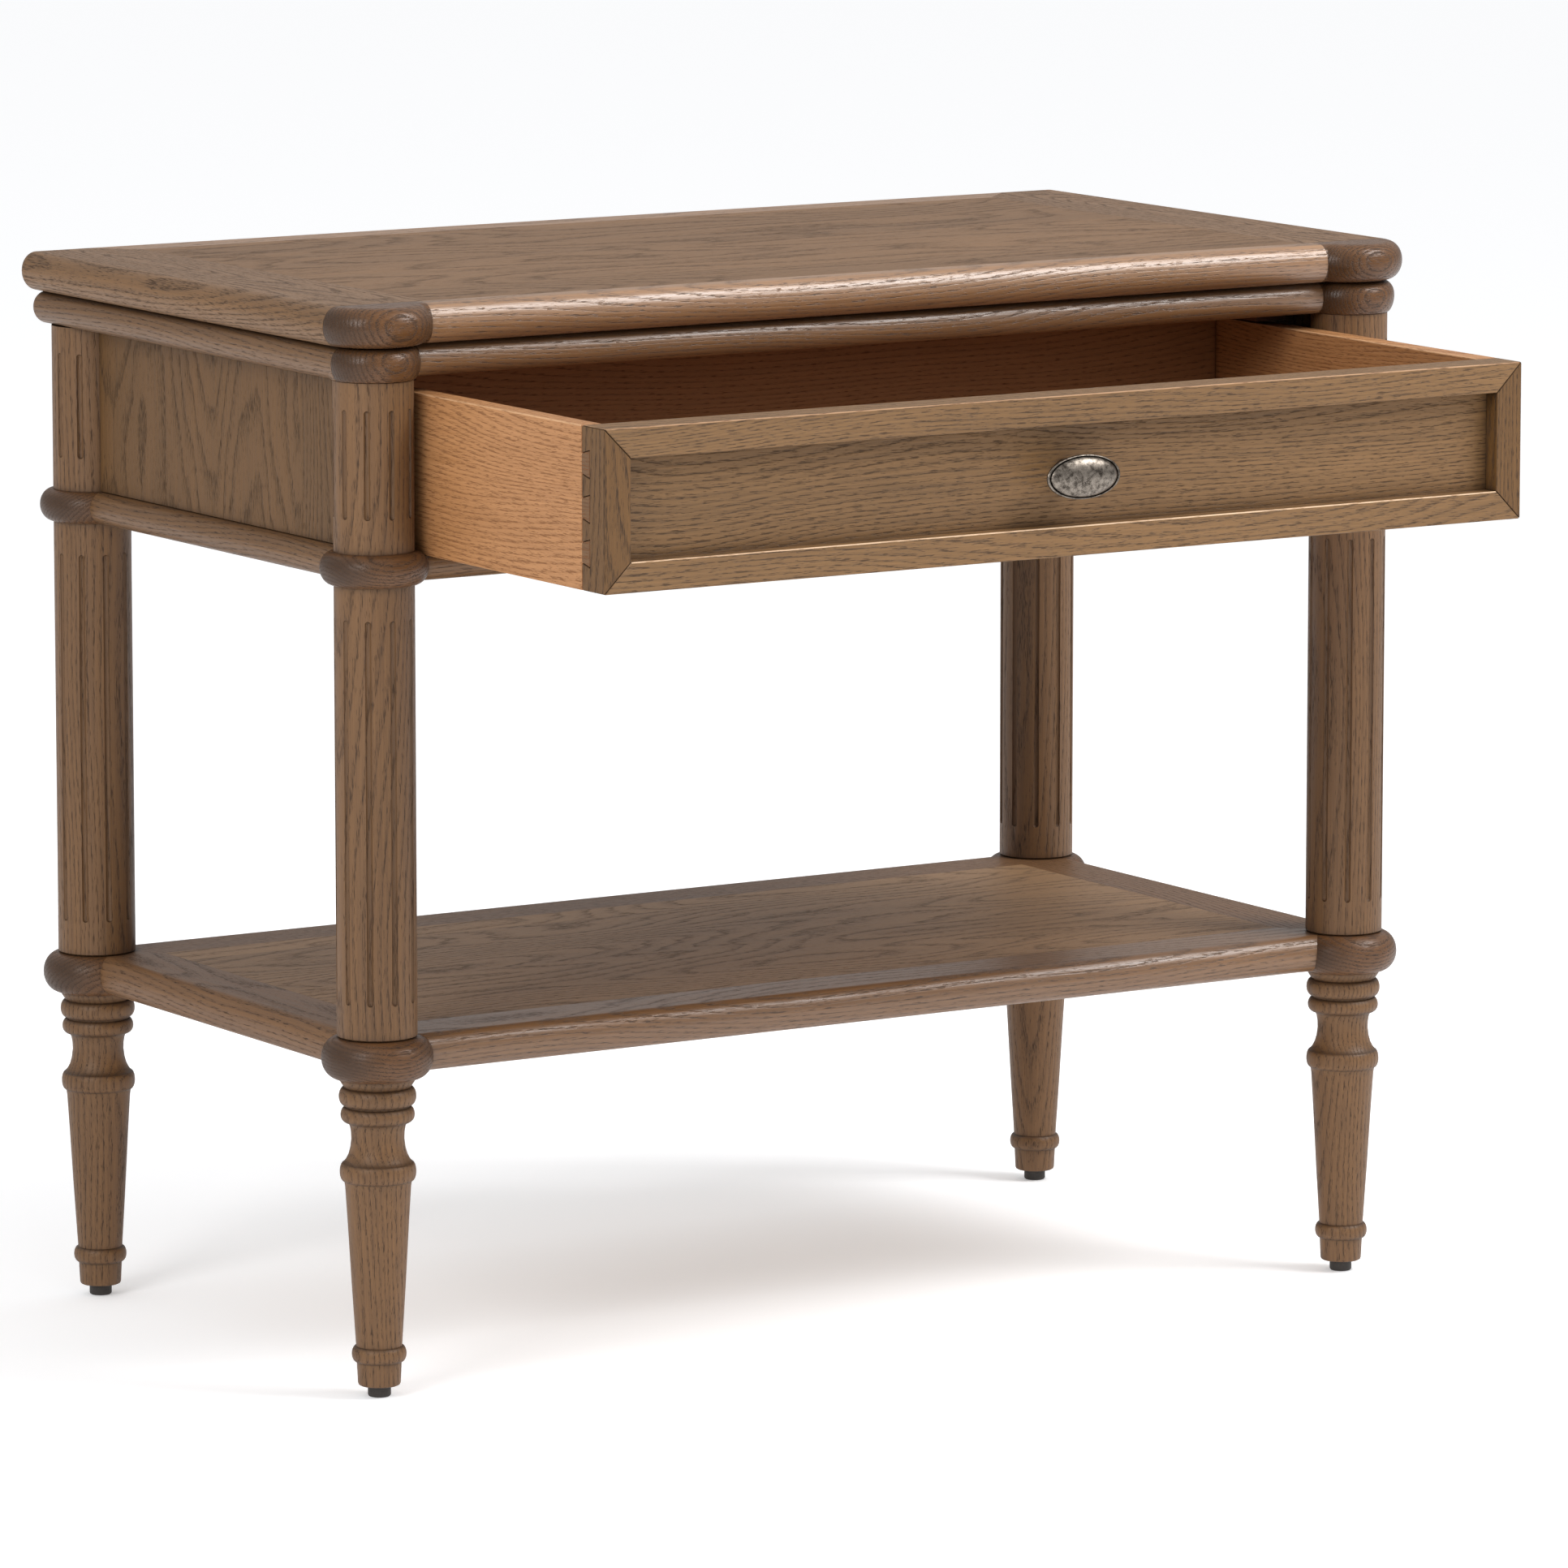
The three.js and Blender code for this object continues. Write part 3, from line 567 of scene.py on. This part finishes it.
def moulded_board(name, low, high, nose, front_radius, back_radius):
    """A board with round corners in plan and a half-round edge, between two corners in mm."""
    thick = high[2] - low[2]
    bpy.ops.object.select_all(action="DESELECT")
    middle = [(a + b) / 2 * MM for a, b in zip(low, high)]
    bpy.ops.mesh.primitive_cube_add(size=1, location=middle)
    board = bpy.context.object
    board.name = name
    board.scale = ((high[0] - low[0]) * MM, (high[1] - low[1]) * MM, 2 * nose * MM)
    bpy.ops.object.transform_apply(location=True, rotation=True, scale=True)
    bpy.ops.object.mode_set(mode="EDIT")
    shape = bmesh.from_edit_mesh(board.data)
    for radius, side in ((front_radius, -1), (back_radius, 1)):
        bpy.ops.mesh.select_all(action="DESELECT")
        for edge in shape.edges:
            a, b = (v.co for v in edge.verts)
            upright = abs(a.z - b.z) > nose * MM
            edge.select = upright and (a.y - middle[1]) * side > 0
        shape.select_flush(True)
        bmesh.update_edit_mesh(board.data)
        bpy.ops.mesh.bevel(offset=radius * MM, segments=14, affect="EDGES", clamp_overlap=False)
        shape = bmesh.from_edit_mesh(board.data)
    bpy.ops.mesh.select_all(action="DESELECT")
    for edge in shape.edges:
        a, b = (v.co for v in edge.verts)
        edge.select = abs(a.z - b.z) < 1e-6
    shape.select_flush(True)
    bmesh.update_edit_mesh(board.data)
    bpy.ops.mesh.bevel(offset=nose * 0.998 * MM, segments=NOSE_STEPS, affect="EDGES", clamp_overlap=False)
    bpy.ops.mesh.select_all(action="SELECT")
    bpy.ops.transform.resize(value=(1, 1, thick / (2 * nose)), center_override=middle)
    bpy.ops.mesh.normals_make_consistent(inside=False)
    bpy.ops.object.mode_set(mode="OBJECT")
    return board


def split(board, name, planes):
    """The part of a board on the inner side of each plane, given as (point, outward normal)."""
    piece = copied(board, name, (0, 0, 0))
    bpy.ops.object.mode_set(mode="EDIT")
    for point, normal in planes:
        bpy.ops.mesh.select_all(action="SELECT")
        bpy.ops.mesh.bisect(plane_co=point, plane_no=normal, use_fill=True, clear_outer=True)
    bpy.ops.object.mode_set(mode="OBJECT")
    bpy.ops.object.shade_smooth_by_angle(angle=math.radians(35))
    even = piece.modifiers.new("even", "WEIGHTED_NORMAL")
    even.keep_sharp = True
    even.weight = 90
    bpy.ops.object.modifier_apply(modifier=even.name)
    return piece


def border_planes(side, field_low, field_high):
    """The planes that bound one border strip round a field: its inner edge and two mitres."""
    (x0, y0), (x1, y1) = field_low, field_high
    s = SEAM / 2 * MM
    inner = {
        "front": ((0, y0 - s, 0), (0, 1, 0)),
        "back": ((0, y1 + s, 0), (0, -1, 0)),
        "left": ((x0 - s, 0, 0), (1, 0, 0)),
        "right": ((x1 + s, 0, 0), (-1, 0, 0)),
    }[side]
    away = {
        "front": Vector((0, -1, 0)),
        "back": Vector((0, 1, 0)),
        "left": Vector((-1, 0, 0)),
        "right": Vector((1, 0, 0)),
    }
    planes = [inner]
    for end in ("left", "right") if side in ("front", "back") else ("front", "back"):
        x = x0 if "left" in (side, end) else x1
        y = y0 if "front" in (side, end) else y1
        normal = (away[end] - away[side]).normalized()
        planes.append((Vector((x, y, 0)) - normal * s, normal))
    return planes


def field_planes(field_low, field_high):
    """The four planes round a field."""
    (x0, y0), (x1, y1) = field_low, field_high
    s = SEAM / 2 * MM
    return [
        ((x0 + s, 0, 0), (-1, 0, 0)),
        ((x1 - s, 0, 0), (1, 0, 0)),
        ((0, y0 + s, 0), (0, -1, 0)),
        ((0, y1 - s, 0), (0, 1, 0)),
    ]


def reach(*nodes):
    """The box in mm round several nodes."""
    lows, highs = zip(*(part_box(node) for node in nodes))
    low = [min(c[i] for c in lows) / MM for i in range(3)]
    high = [max(c[i] for c in highs) / MM for i in range(3)]
    return low, high


def field_of(node):
    """The plan corners of a field, half way across the gap that the node leaves round itself."""
    low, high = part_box(node)
    half_gap = 0.15 * MM
    return (low[0] - half_gap, low[1] - half_gap), (high[0] + half_gap, high[1] + half_gap)


SIDES = ("front", "back", "left", "right")
SHELF_OAK = {"light": "a17e5a", "dark": "6a5038", "pore": "35271b"}
BORDER_OAK = {"light": "825e3d", "dark": "513824", "pore": "2c1d12"}
shelf_low, shelf_high = reach("shelf_panel", *(f"shelf_edge_{side}" for side in SIDES))
shelf = moulded_board("shelf_blank", shelf_low, shelf_high, 9.5, 10, 10)
RING_ROOM = 0.05  # mm between a ring and what is scribed to it


def grown_ring(node, corner, nose):
    """A cutter a touch larger than a corner ring."""
    profile = ring_profile(node, nose)
    wide = [(r + RING_ROOM, z) for r, z in profile]
    wide[0] = (wide[0][0], wide[0][1] - 0.5)
    wide[-1] = (wide[-1][0], wide[-1][1] + 0.5)
    wide.insert(1, (wide[1][0], wide[0][1]))
    wide.insert(-1, (wide[-2][0], wide[-1][1]))
    return turn("ring_cutter", wide, centre(f"post_{corner}").xy)


for corner in CORNERS:
    carve(shelf, grown_ring(f"shelf_ring_{corner}", corner, SHELF_RING_NOSE))
field = field_of("shelf_panel")
piece = split(shelf, "shelf_field", field_planes(*field))
wood = oak("oak_veneer_shelf", "x", **SHELF_OAK, offset=(0, 40, 0), plank=128, rough=0.56, figure=1.3)
finished(piece, "shelf_panel", wood)
for number, side in enumerate(SIDES):
    piece = split(shelf, f"shelf_nosing_{side}", border_planes(side, *field))
    grain = "x" if side in ("front", "back") else "y"
    polish = {"rough": 0.36, "gloss": 0.7} if side == "front" else {"rough": 0.45, "gloss": 0.35}
    placing = {"offset": (170 * number, 66 * number, 8)}
    wood = oak(f"oak_shelf_nosing_{side}", grain, **BORDER_OAK, **placing, **polish)
    finished(piece, f"shelf_edge_{side}", wood)
bpy.data.objects.remove(shelf)

# --- Apron bead rails ---------------------------------------------------------------------------
# Four half-round oak rails between the apron rings. The front one is planed lower for the drawer.

apron_low, apron_high = reach(*(f"bead_rail_{side}" for side in ("back", "left", "right")), "bead_rail_front")
apron = moulded_board("apron_blank", apron_low, apron_high, 10, 10.5, 10.5)
for corner in CORNERS:
    carve(apron, grown_ring(f"apron_ring_{corner}".replace("front", "back"), corner, APRON_RING_NOSE))
left_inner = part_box("bead_rail_left")[1][0]
front_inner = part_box("bead_rail_front")[1][1]
back_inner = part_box("bead_rail_back")[0][1]
opening = ((left_inner, front_inner), (-left_inner, back_inner))
for number, side in enumerate(SIDES):
    planes = border_planes(side, *opening)
    if side == "front":
        planes.append(((0, 0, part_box("bead_rail_front")[1][2]), (0, 0, 1)))
    piece = split(apron, f"apron_bead_{side}", planes)
    grain = "x" if side in ("front", "back") else "y"
    placing = {"offset": (210 * number, 35 * number, 5)}
    wood = oak(f"oak_apron_bead_{side}", grain, **OAK, **placing, rough=0.42)
    finished(piece, f"bead_rail_{side}", wood)
bpy.data.objects.remove(apron)

# --- Second tier --------------------------------------------------------------------------------
# The moulding under the top: solid oak rails with a half-round edge. A round block, the ear, is
# glued to the front end of each side rail over the post, and the front rail stands back between.

subtop_low, subtop_high = reach(*(f"subtop_rail_{side}" for side in SIDES))
# The front rail is painted paler than the other rails: painted light where the front windows fall on it.
HIGHLIT_FRONT_EDGE_OAK = {"light": "936b45", "dark": "5a3e26", "pore": "2e1e12"}
SUBTOP_NOSE = 9
SUBTOP_EAR_R = 28.5
front_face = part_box("subtop_rail_front")[0][1] / MM
subtop_low[1] = front_face
subtop = moulded_board("subtop_blank", subtop_low, subtop_high, SUBTOP_NOSE, 10, 14)


def eared(board, low, middle, profile):
    """Swells a front corner of a board into a round ear: the corner is cut off square at the ear's
    middle, and the turned ear is joined on. Returns the x of the crease where the ear ends."""
    hand = -1 if middle.x < 0 else 1
    room = 20 * MM
    near, far = middle.y - 2 * room, middle.y
    bpy.ops.object.select_all(action="DESELECT")
    bpy.ops.mesh.primitive_cube_add(size=1, location=(middle.x + hand * room, (near + far) / 2, low[2] * MM))
    corner_waste = bpy.context.object
    corner_waste.scale = (2 * room, far - near, 6 * room)
    bpy.ops.object.transform_apply(location=True, rotation=True, scale=True)
    carve(board, corner_waste)
    carve(board, turn("ear", profile, middle), "UNION")
    ear_r = max(radius for radius, height in profile) * MM
    return middle.x - hand * math.sqrt(ear_r**2 - (middle.y - low[1] * MM) ** 2)


for corner in CORNERS[:2]:
    low, high = subtop_low[2], subtop_high[2]
    flat = SUBTOP_EAR_R - SUBTOP_NOSE
    ear_profile = [
        (flat * 0.5, low),
        *roll(POST_R + 0.4, low, flat, high, SUBTOP_EAR_R, 2 * NOSE_STEPS),
        (flat * 0.5, high),
    ]
    ear_x = abs(eared(subtop, subtop_low, centre(f"post_{corner}").xy, ear_profile))
EAR_SEAM = 0.25  # mm, a glue line that shows
# The log of an ear lies level behind it, so that its rings close round the front.
EAR_FIGURE = {"rolled": True, "ring_width": 2.1, "pith": 35, "pores": 0.54, "rough": 0.3, "gloss": 0.35}
ear_y = centre("post_front_left").y
opening_low = (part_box("subtop_rail_left")[1][0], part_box("subtop_rail_front")[1][1])
opening_high = (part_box("subtop_rail_right")[0][0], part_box("subtop_rail_back")[0][1])
s = SEAM / 2 * MM
front_planes = [
    ((0, opening_low[1], 0), (0, 1, 0)),
    ((ear_x - s, 0, 0), (1, 0, 0)),
    ((s - ear_x, 0, 0), (-1, 0, 0)),
]
for number, side in enumerate(SIDES):
    planes = border_planes(side, opening_low, opening_high)
    if side == "front":
        planes = front_planes
    elif side in ("left", "right"):
        hand = -1 if side == "left" else 1
        inner = ((hand * (ear_x + s), 0, 0), (-hand, 0, 0))
        planes = [inner, planes[2], ((0, ear_y + EAR_SEAM * MM, 0), (0, -1, 0))]
        ear = split(subtop, f"second_tier_ear_{side}", [inner, ((0, ear_y, 0), (0, 1, 0))])
        wood = oak(f"oak_second_tier_ear_{side}", "x", **RING_OAK, offset=(44 * hand, 0, -616), **EAR_FIGURE)
        finished(ear, f"subtop_rail_{side}", wood)
    piece = split(subtop, f"second_tier_{side}", planes)
    grain = "x" if side in ("front", "back") else "y"
    polish = {"rough": 0.36, "gloss": 1.0} if side == "front" else {"rough": 0.42, "gloss": 0.45}
    # The front rail takes the paler colour, as painted light.
    colours = HIGHLIT_FRONT_EDGE_OAK if side == "front" else OAK
    placing = {"offset": (130 * number, 77 * number, 4)}
    wood = oak(f"oak_second_tier_{side}", grain, **colours, **placing, **polish)
    finished(piece, f"subtop_rail_{side}", wood)
bpy.data.objects.remove(subtop)

# --- Top ----------------------------------------------------------------------------------------
# A veneered field with solid oak edges. Each front corner is a separate round block, glued on with
# its grain across, so growth rings show as an eye on its face.

TOP_OAK = {"light": "876442", "dark": "5a4026", "pore": "332214"}
# The front and back nosings are paler and warmer than the side strips: rubbed solid oak, lightened further as a
# painted highlight.
RUBBED_AND_HIGHLIT_OAK = {"light": "a67b54", "dark": "664930", "pore": "2e1e12"}
TOP_NOSE = 9.5
TOP_EAR_R = 35.3
TOP_EAR_SHIFT = 1.5
top_low, top_high = reach("top_panel", *(f"top_edge_{side}" for side in SIDES))
top = moulded_board("top_blank", top_low, top_high, TOP_NOSE, 20.9, 22)
for corner in CORNERS[:2]:
    low, high = top_low[2], top_high[2]
    flat = TOP_EAR_R - TOP_NOSE
    edge = roll(flat, low, flat, high, TOP_EAR_R, 2 * NOSE_STEPS)
    ear_profile = [(flat * 0.5, low), *edge, (flat * 0.5, high)]
    place = centre(f"post_{corner}").xy
    inward = TOP_EAR_SHIFT * MM
    place += Vector((inward if place.x < 0 else -inward, inward))
    ear_x = abs(eared(top, top_low, place, ear_profile))
field = field_of("top_panel")
field_front = field[0][1]
piece = split(top, "top_field", field_planes(*field))
wood = oak("oak_veneer_top", "x", **TOP_OAK, plank=142, rough=0.5, gloss=0.3, offset=(300, 20, 0))
finished(piece, "top_panel", wood)
for number, side in enumerate(SIDES):
    planes = border_planes(side, *field)
    if side == "front":
        planes = [planes[0], ((ear_x - s, 0, 0), (1, 0, 0)), ((s - ear_x, 0, 0), (-1, 0, 0))]
    elif side in ("left", "right"):
        planes[1] = ((0, field_front + EAR_SEAM * MM, 0), (0, -1, 0))
    piece = split(top, f"top_nosing_{side}", planes)
    grain = "x" if side in ("front", "back") else "y"
    if side in ("left", "right"):
        # A flat-sawn strip: the middle of its log lies just below it, so its rings run in long arches.
        middle = centre(f"top_edge_{side}") / MM
        placing = {"offset": (-middle.x, 90 * number, -middle.z), "pith": 26, "figure": 1.7, "ring_width": 3}
        wood = oak(f"oak_top_nosing_{side}", grain, **TOP_OAK, **placing, rough=0.44, gloss=0.35, pores=0.55)
    else:
        placing = {"offset": (140 * number, 21 * number, 6)}
        wood = oak(f"oak_top_nosing_{side}", grain, **RUBBED_AND_HIGHLIT_OAK, **placing, rough=0.36, gloss=1.0)
    finished(piece, f"top_edge_{side}", wood)
for hand, corner in ((-1, "front_left"), (1, "front_right")):
    planes = [((hand * (ear_x + s), 0, 0), (-hand, 0, 0)), ((0, field_front - s, 0), (0, 1, 0))]
    piece = split(top, f"top_ear_{corner}", planes)
    wood = oak(f"oak_top_ear_{corner}", "x", **RING_OAK, offset=(60 * hand, 0, -642), **EAR_FIGURE)
    finished(piece, f"top_corner_{corner}", wood)
bpy.data.objects.remove(top)

# --- Panels of the case -------------------------------------------------------------------------
# Flat oak-veneered boards let in between the posts: upright grain on the two sides, level on the back.


def eased(node, name, width, material, wear_and_highlight=None):
    """A copy of a flat CAD piece, with its edges eased by width mm. Where a second finish is given,
    the eased edges take it: wear, and a painted highlight."""
    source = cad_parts[node]
    piece = source.copy()
    piece.data = source.data.copy()
    piece.name = name
    bpy.context.collection.objects.link(piece)
    piece.parent = None
    piece.data.materials.clear()
    for finish in (material, wear_and_highlight) if wear_and_highlight else (material,):
        piece.data.materials.append(finish)
    only(piece)
    bpy.ops.object.mode_set(mode="EDIT")
    bpy.ops.mesh.select_all(action="SELECT")
    bpy.ops.mesh.remove_doubles(threshold=0.005 * MM)
    bpy.ops.mesh.dissolve_limited(angle_limit=math.radians(2))
    bpy.ops.object.mode_set(mode="OBJECT")
    round_off = piece.modifiers.new("ease", "BEVEL")
    round_off.width = width * MM
    round_off.segments = 2
    round_off.material = 1 if wear_and_highlight else 0
    round_off.limit_method = "ANGLE"
    round_off.angle_limit = math.radians(50)
    round_off.use_clamp_overlap = False
    bpy.ops.object.modifier_apply(modifier=round_off.name)
    # Only the long edges that face up keep the second finish: wear from handling, and a painted
    # highlight where light from above catches them.
    along = max(range(3), key=lambda axis: piece.dimensions[axis])
    for face in piece.data.polygons:
        if face.material_index and (face.normal.z < 0.3 or abs(face.normal[along]) > 0.3):
            face.material_index = 0
    bpy.ops.object.shade_smooth_by_angle(angle=math.radians(35))
    even = piece.modifiers.new("even", "WEIGHTED_NORMAL")
    even.keep_sharp = True
    bpy.ops.object.modifier_apply(modifier=even.name)
    return piece


PANEL_OAK = {"light": "72512f", "dark": "49341c", "pore": "2c1d10"}
PANEL_GRAIN = {"side_panel_left": "z", "side_panel_right": "z", "back_panel": "x"}
for number, (node, grain) in enumerate(PANEL_GRAIN.items()):
    placing = {"offset": (0, 110 * number, 55), "plank": 210, "figure": 1.4}
    wood = oak(f"oak_{node}", grain, **PANEL_OAK, **placing, rough=0.5, gloss=0.25)
    finished(eased(node, f"veneered_{node}", 0.3, wood), node)

# --- Runners, kickers and stop ------------------------------------------------------------------
# Plain oak strips screwed and glued inside the case, stained but not lacquered.

BACK_OAK = {"light": "a6774f", "dark": "7f5533", "pore": "573821"}
INSIDE_OAK = {"light": "6a4630", "dark": "44291b", "pore": "2a180f"}
for number, node in enumerate(
    ("drawer_runner_left", "drawer_runner_right", "drawer_kicker_left", "drawer_kicker_right", "drawer_stop")
):
    grain = "x" if node == "drawer_stop" else "y"
    wood = oak(f"oak_{node}", grain, **INSIDE_OAK, offset=(30 * number, 44 * number, 9), rough=0.6)
    piece = eased(node, node.replace("drawer_", "oak_"), 0.8, wood)
    finished(piece, node)

# --- Drawer front -------------------------------------------------------------------------------
# A mitred oak frame round a flat panel, brown-stained like the case. The arris round the panel has
# rubbed through to bare wood along the lower rail, and the rail edges that face up are painted lighter
# still as a painted highlight.

FRONT_OAK = {"light": "8c6841", "dark": "50391f", "pore": "322112"}
STILE_OAK = {"light": "735027", "dark": "462f16", "pore": "2a1b0f"}
# The edges of the rails that face up: wear, lightened further as a painted highlight.
WORN_AND_HIGHLIT_OAK = {"light": "b48d69", "dark": "96704f", "pore": "6a4b33"}
BARE_AND_HIGHLIT_OAK = {"light": "e2c6a6", "dark": "c9a480", "pore": "98704c"}
for number, (node, grain, colours, edges) in enumerate(
    (
        ("drawer_front_rail_top", "x", FRONT_OAK, WORN_AND_HIGHLIT_OAK),
        ("drawer_front_rail_bottom", "x", FRONT_OAK, BARE_AND_HIGHLIT_OAK),
        ("drawer_front_stile_left", "z", STILE_OAK, STILE_OAK),
        ("drawer_front_stile_right", "z", STILE_OAK, STILE_OAK),
        ("drawer_front_panel", "x", FRONT_OAK, FRONT_OAK),
    )
):
    placing = {"offset": (90 * number, 31 * number, 17 * number), "pith": 45, "figure": 1.6, "pores": 0.57}
    wood = oak(f"oak_{node}", grain, **colours, **placing, rough=0.5)
    wear_and_highlight = oak(f"worn_and_highlit_oak_{node}", grain, **edges, **placing, rough=0.55)
    finished(eased(node, node.replace("drawer_", ""), 0.7, wood, wear_and_highlight), node, body="drawer")

# --- Drawer box ---------------------------------------------------------------------------------
# Sides of paler natural oak, half-blind dovetailed to the front; the back and the plywood bottom are
# stained reddish brown inside.

SIDE_OAK = {"light": "c08b5c", "dark": "8b5c33", "pore": "734827"}
# The top edges of the sides take a paler finish: a painted highlight.
SIDE_EDGE_HIGHLIGHT = {"light": "d9ac82", "dark": "bb8b5e", "pore": "8a5c38"}
for number, side in enumerate(("left", "right")):
    node = f"drawer_side_{side}"
    tails = {"before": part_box(f"drawer_front_stile_{side}")[1][1], "light": OAK["light"], "dark": OAK["dark"]}
    placing = {"offset": (15 * number, 0, 70 + 33 * number), "pith": 60, "pores": 0.56, "figure": 1.5}
    wood = oak(f"oak_{node}", "y", **SIDE_OAK, **placing, rough=0.5, stain_line=tails)
    wear_and_highlight = oak(f"worn_and_highlit_oak_{node}", "y", **SIDE_EDGE_HIGHLIGHT, **placing, rough=0.5, stain_line=tails)
    piece = eased(node, f"dovetailed_side_{side}", 0.8, wood, wear_and_highlight)
    finished(piece, node, body="drawer")
piece = eased("drawer_back", "box_back", 0.8, oak("oak_drawer_back", "x", **BACK_OAK, rough=0.55))
finished(piece, "drawer_back", body="drawer")
wood = oak("oak_plywood_bottom", "x", **BACK_OAK, offset=(0, 12, 0), rough=0.6, plank=160)
piece = eased("drawer_bottom", "box_bottom", 0.3, wood)
finished(piece, "drawer_bottom", body="drawer")

# --- Knob ---------------------------------------------------------------------------------------
# A cast oval knob, plated and aged to a mottled dark pewter, worn bright on its rim. It stands on a
# round stem and is held by a screw from inside the drawer.

# Rubbed metal between dark tarnished specks, nearly black in the groove inside the rim, where the
# polishing cloth doesn't reach.
pewter, tree, shader = new_material("aged_pewter")
speck = add_node(tree, "ShaderNodeTexCoord").outputs["Object"]
mottle = add_node(tree, "ShaderNodeTexNoise", {"Vector": speck}, in_2=1900.0, in_3=4.0, in_4=0.7)
patch = add_node(tree, "ShaderNodeTexNoise", {"Vector": speck}, in_2=330.0, in_3=3.0)
blend = add_node(tree, "ShaderNodeMath", {0: mottle.outputs["Fac"], 1: patch.outputs["Fac"]}, operation="ADD")
even_blend = add_node(tree, "ShaderNodeMath", {0: blend.outputs[0]}, operation="MULTIPLY", in_1=0.5)
tarnish = add_node(tree, "ShaderNodeValToRGB", {"Fac": even_blend.outputs[0]})
tarnish.color_ramp.elements[0].position = 0.39
tarnish.color_ramp.elements[0].color = linear("332d28")
tarnish.color_ramp.elements[1].position = 0.58
tarnish.color_ramp.elements[1].color = linear("8c8379")
shut_in = add_node(tree, "ShaderNodeAmbientOcclusion", samples=6, in_1=0.9 * MM).outputs["AO"]
hollow = add_node(tree, "ShaderNodeMapRange", {0: shut_in}, in_1=0.9, in_2=0.55, in_3=0.0, in_4=0.8)
blackened = add_node(tree, "ShaderNodeMix", {0: hollow.outputs[0], 6: tarnish.outputs[0]}, data_type="RGBA")
blackened.inputs[7].default_value = linear("191512")
tree.links.new(blackened.outputs[2], shader.inputs["Base Color"])
patina = {"in_1": 0.3, "in_2": 0.7, "in_3": 0.46, "in_4": 0.24}
dull = add_node(tree, "ShaderNodeMapRange", {0: mottle.outputs["Fac"]}, **patina)
tree.links.new(dull.outputs[0], shader.inputs["Roughness"])
pits = add_node(tree, "ShaderNodeBump", {"Height": mottle.outputs["Fac"]}, in_0=0.25, in_1=0.12 * MM)
tree.links.new(pits.outputs[0], shader.inputs["Normal"])
shader.inputs["Metallic"].default_value = 1.0

# The head is turned as a circle, in mm, and then squashed to its oval.
knob_low, knob_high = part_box("knob")
KNOB_A = (knob_high[0] - knob_low[0]) / 2 / MM
KNOB_B = (knob_high[2] - knob_low[2]) / 2 / MM
KNOB_REACH = (knob_high[1] - knob_low[1]) / MM
HEAD_T = 11
STEM_R = 6.5


def face_forward(piece, squash):
    """Lays a turned piece, built up from the floor at the origin, against the drawer front."""
    only(piece)
    bpy.ops.object.mode_set(mode="EDIT")
    bpy.ops.mesh.select_all(action="SELECT")
    bpy.ops.transform.resize(value=(1, squash, 1), center_override=(0, 0, 0))
    bpy.ops.object.mode_set(mode="OBJECT")
    middle = (knob_low[2] + knob_high[2]) / 2
    piece.matrix_world = Matrix.Translation((0, knob_high[1], middle)) @ Matrix.Rotation(math.pi / 2, 4, "X")
    bpy.ops.object.transform_apply(location=True, rotation=True, scale=True)


head_z = KNOB_REACH - HEAD_T
dome = [
    ((KNOB_A - 2.3) * math.sin(a), KNOB_REACH - 5.9 + 5.9 * math.cos(a))
    for a in (math.pi / 2 * i / 12 for i in range(12, 0, -1))
]
head_profile = [
    (STEM_R + 1, head_z + 0.2),
    (KNOB_A - 7, head_z + 1.4),
    (KNOB_A - 2, head_z + 3.4),
    *roll(KNOB_A - 1.0, head_z + 3.9, KNOB_A - 1.3, head_z + 6.2, KNOB_A, 10),
    (KNOB_A - 1.7, head_z + 5.9),
    (KNOB_A - 2.0, head_z + 5.1),
    *dome,
    (0.3, KNOB_REACH),
]
head = turn("oval_knob", head_profile, (0, 0), 96)
face_forward(head, KNOB_B / KNOB_A)
stem_profile = [
    (STEM_R + 2.3, 0.0),
    (STEM_R + 2.5, 0.5),
    (STEM_R + 2.3, 1.6),
    (STEM_R + 0.4, 2.6),
    (STEM_R - 1, 4.6),
    (STEM_R - 1.2, 8),
    (STEM_R, head_z - 0.5),
    (STEM_R + 1.5, head_z + 1.6),
]
stem = turn("stem", stem_profile, (0, 0), 64)
face_forward(stem, 1)
carve(head, stem, "UNION")
only(head)
bpy.ops.object.shade_smooth_by_angle(angle=math.radians(38))
finished(head, "knob", pewter, body="drawer")

# The screw: a zinc-plated pan head inside the drawer, with a driver slot. Bright metal under a
# fine haze.
zinc, tree, shader = new_material("zinc_plated_steel")
speck = add_node(tree, "ShaderNodeTexCoord").outputs["Object"]
haze = add_node(tree, "ShaderNodeTexNoise", {"Vector": speck}, in_2=1500.0, in_3=2.0)
dull = add_node(tree, "ShaderNodeMapRange", {0: haze.outputs["Fac"]}, in_1=0.3, in_2=0.7, in_3=0.3, in_4=0.45)
tree.links.new(dull.outputs[0], shader.inputs["Roughness"])
shader.inputs["Base Color"].default_value = linear("b4b4b0")
shader.inputs["Metallic"].default_value = 1.0
screw = eased("knob_screw", "pan_head_screw", 0.35, zinc)
low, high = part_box("knob_screw")
bpy.ops.object.select_all(action="DESELECT")
bpy.ops.mesh.primitive_cube_add(size=1, location=(0, high[1], (low[2] + high[2]) / 2))
slot_cutter = bpy.context.object
slot_cutter.scale = (12 * MM, 2.2 * MM, 1.1 * MM)  # longer than the head, and 1.1 mm deep and wide
bpy.ops.object.transform_apply(location=True, rotation=True, scale=True)
carve(screw, slot_cutter)
finished(screw, "knob_screw", body="drawer")
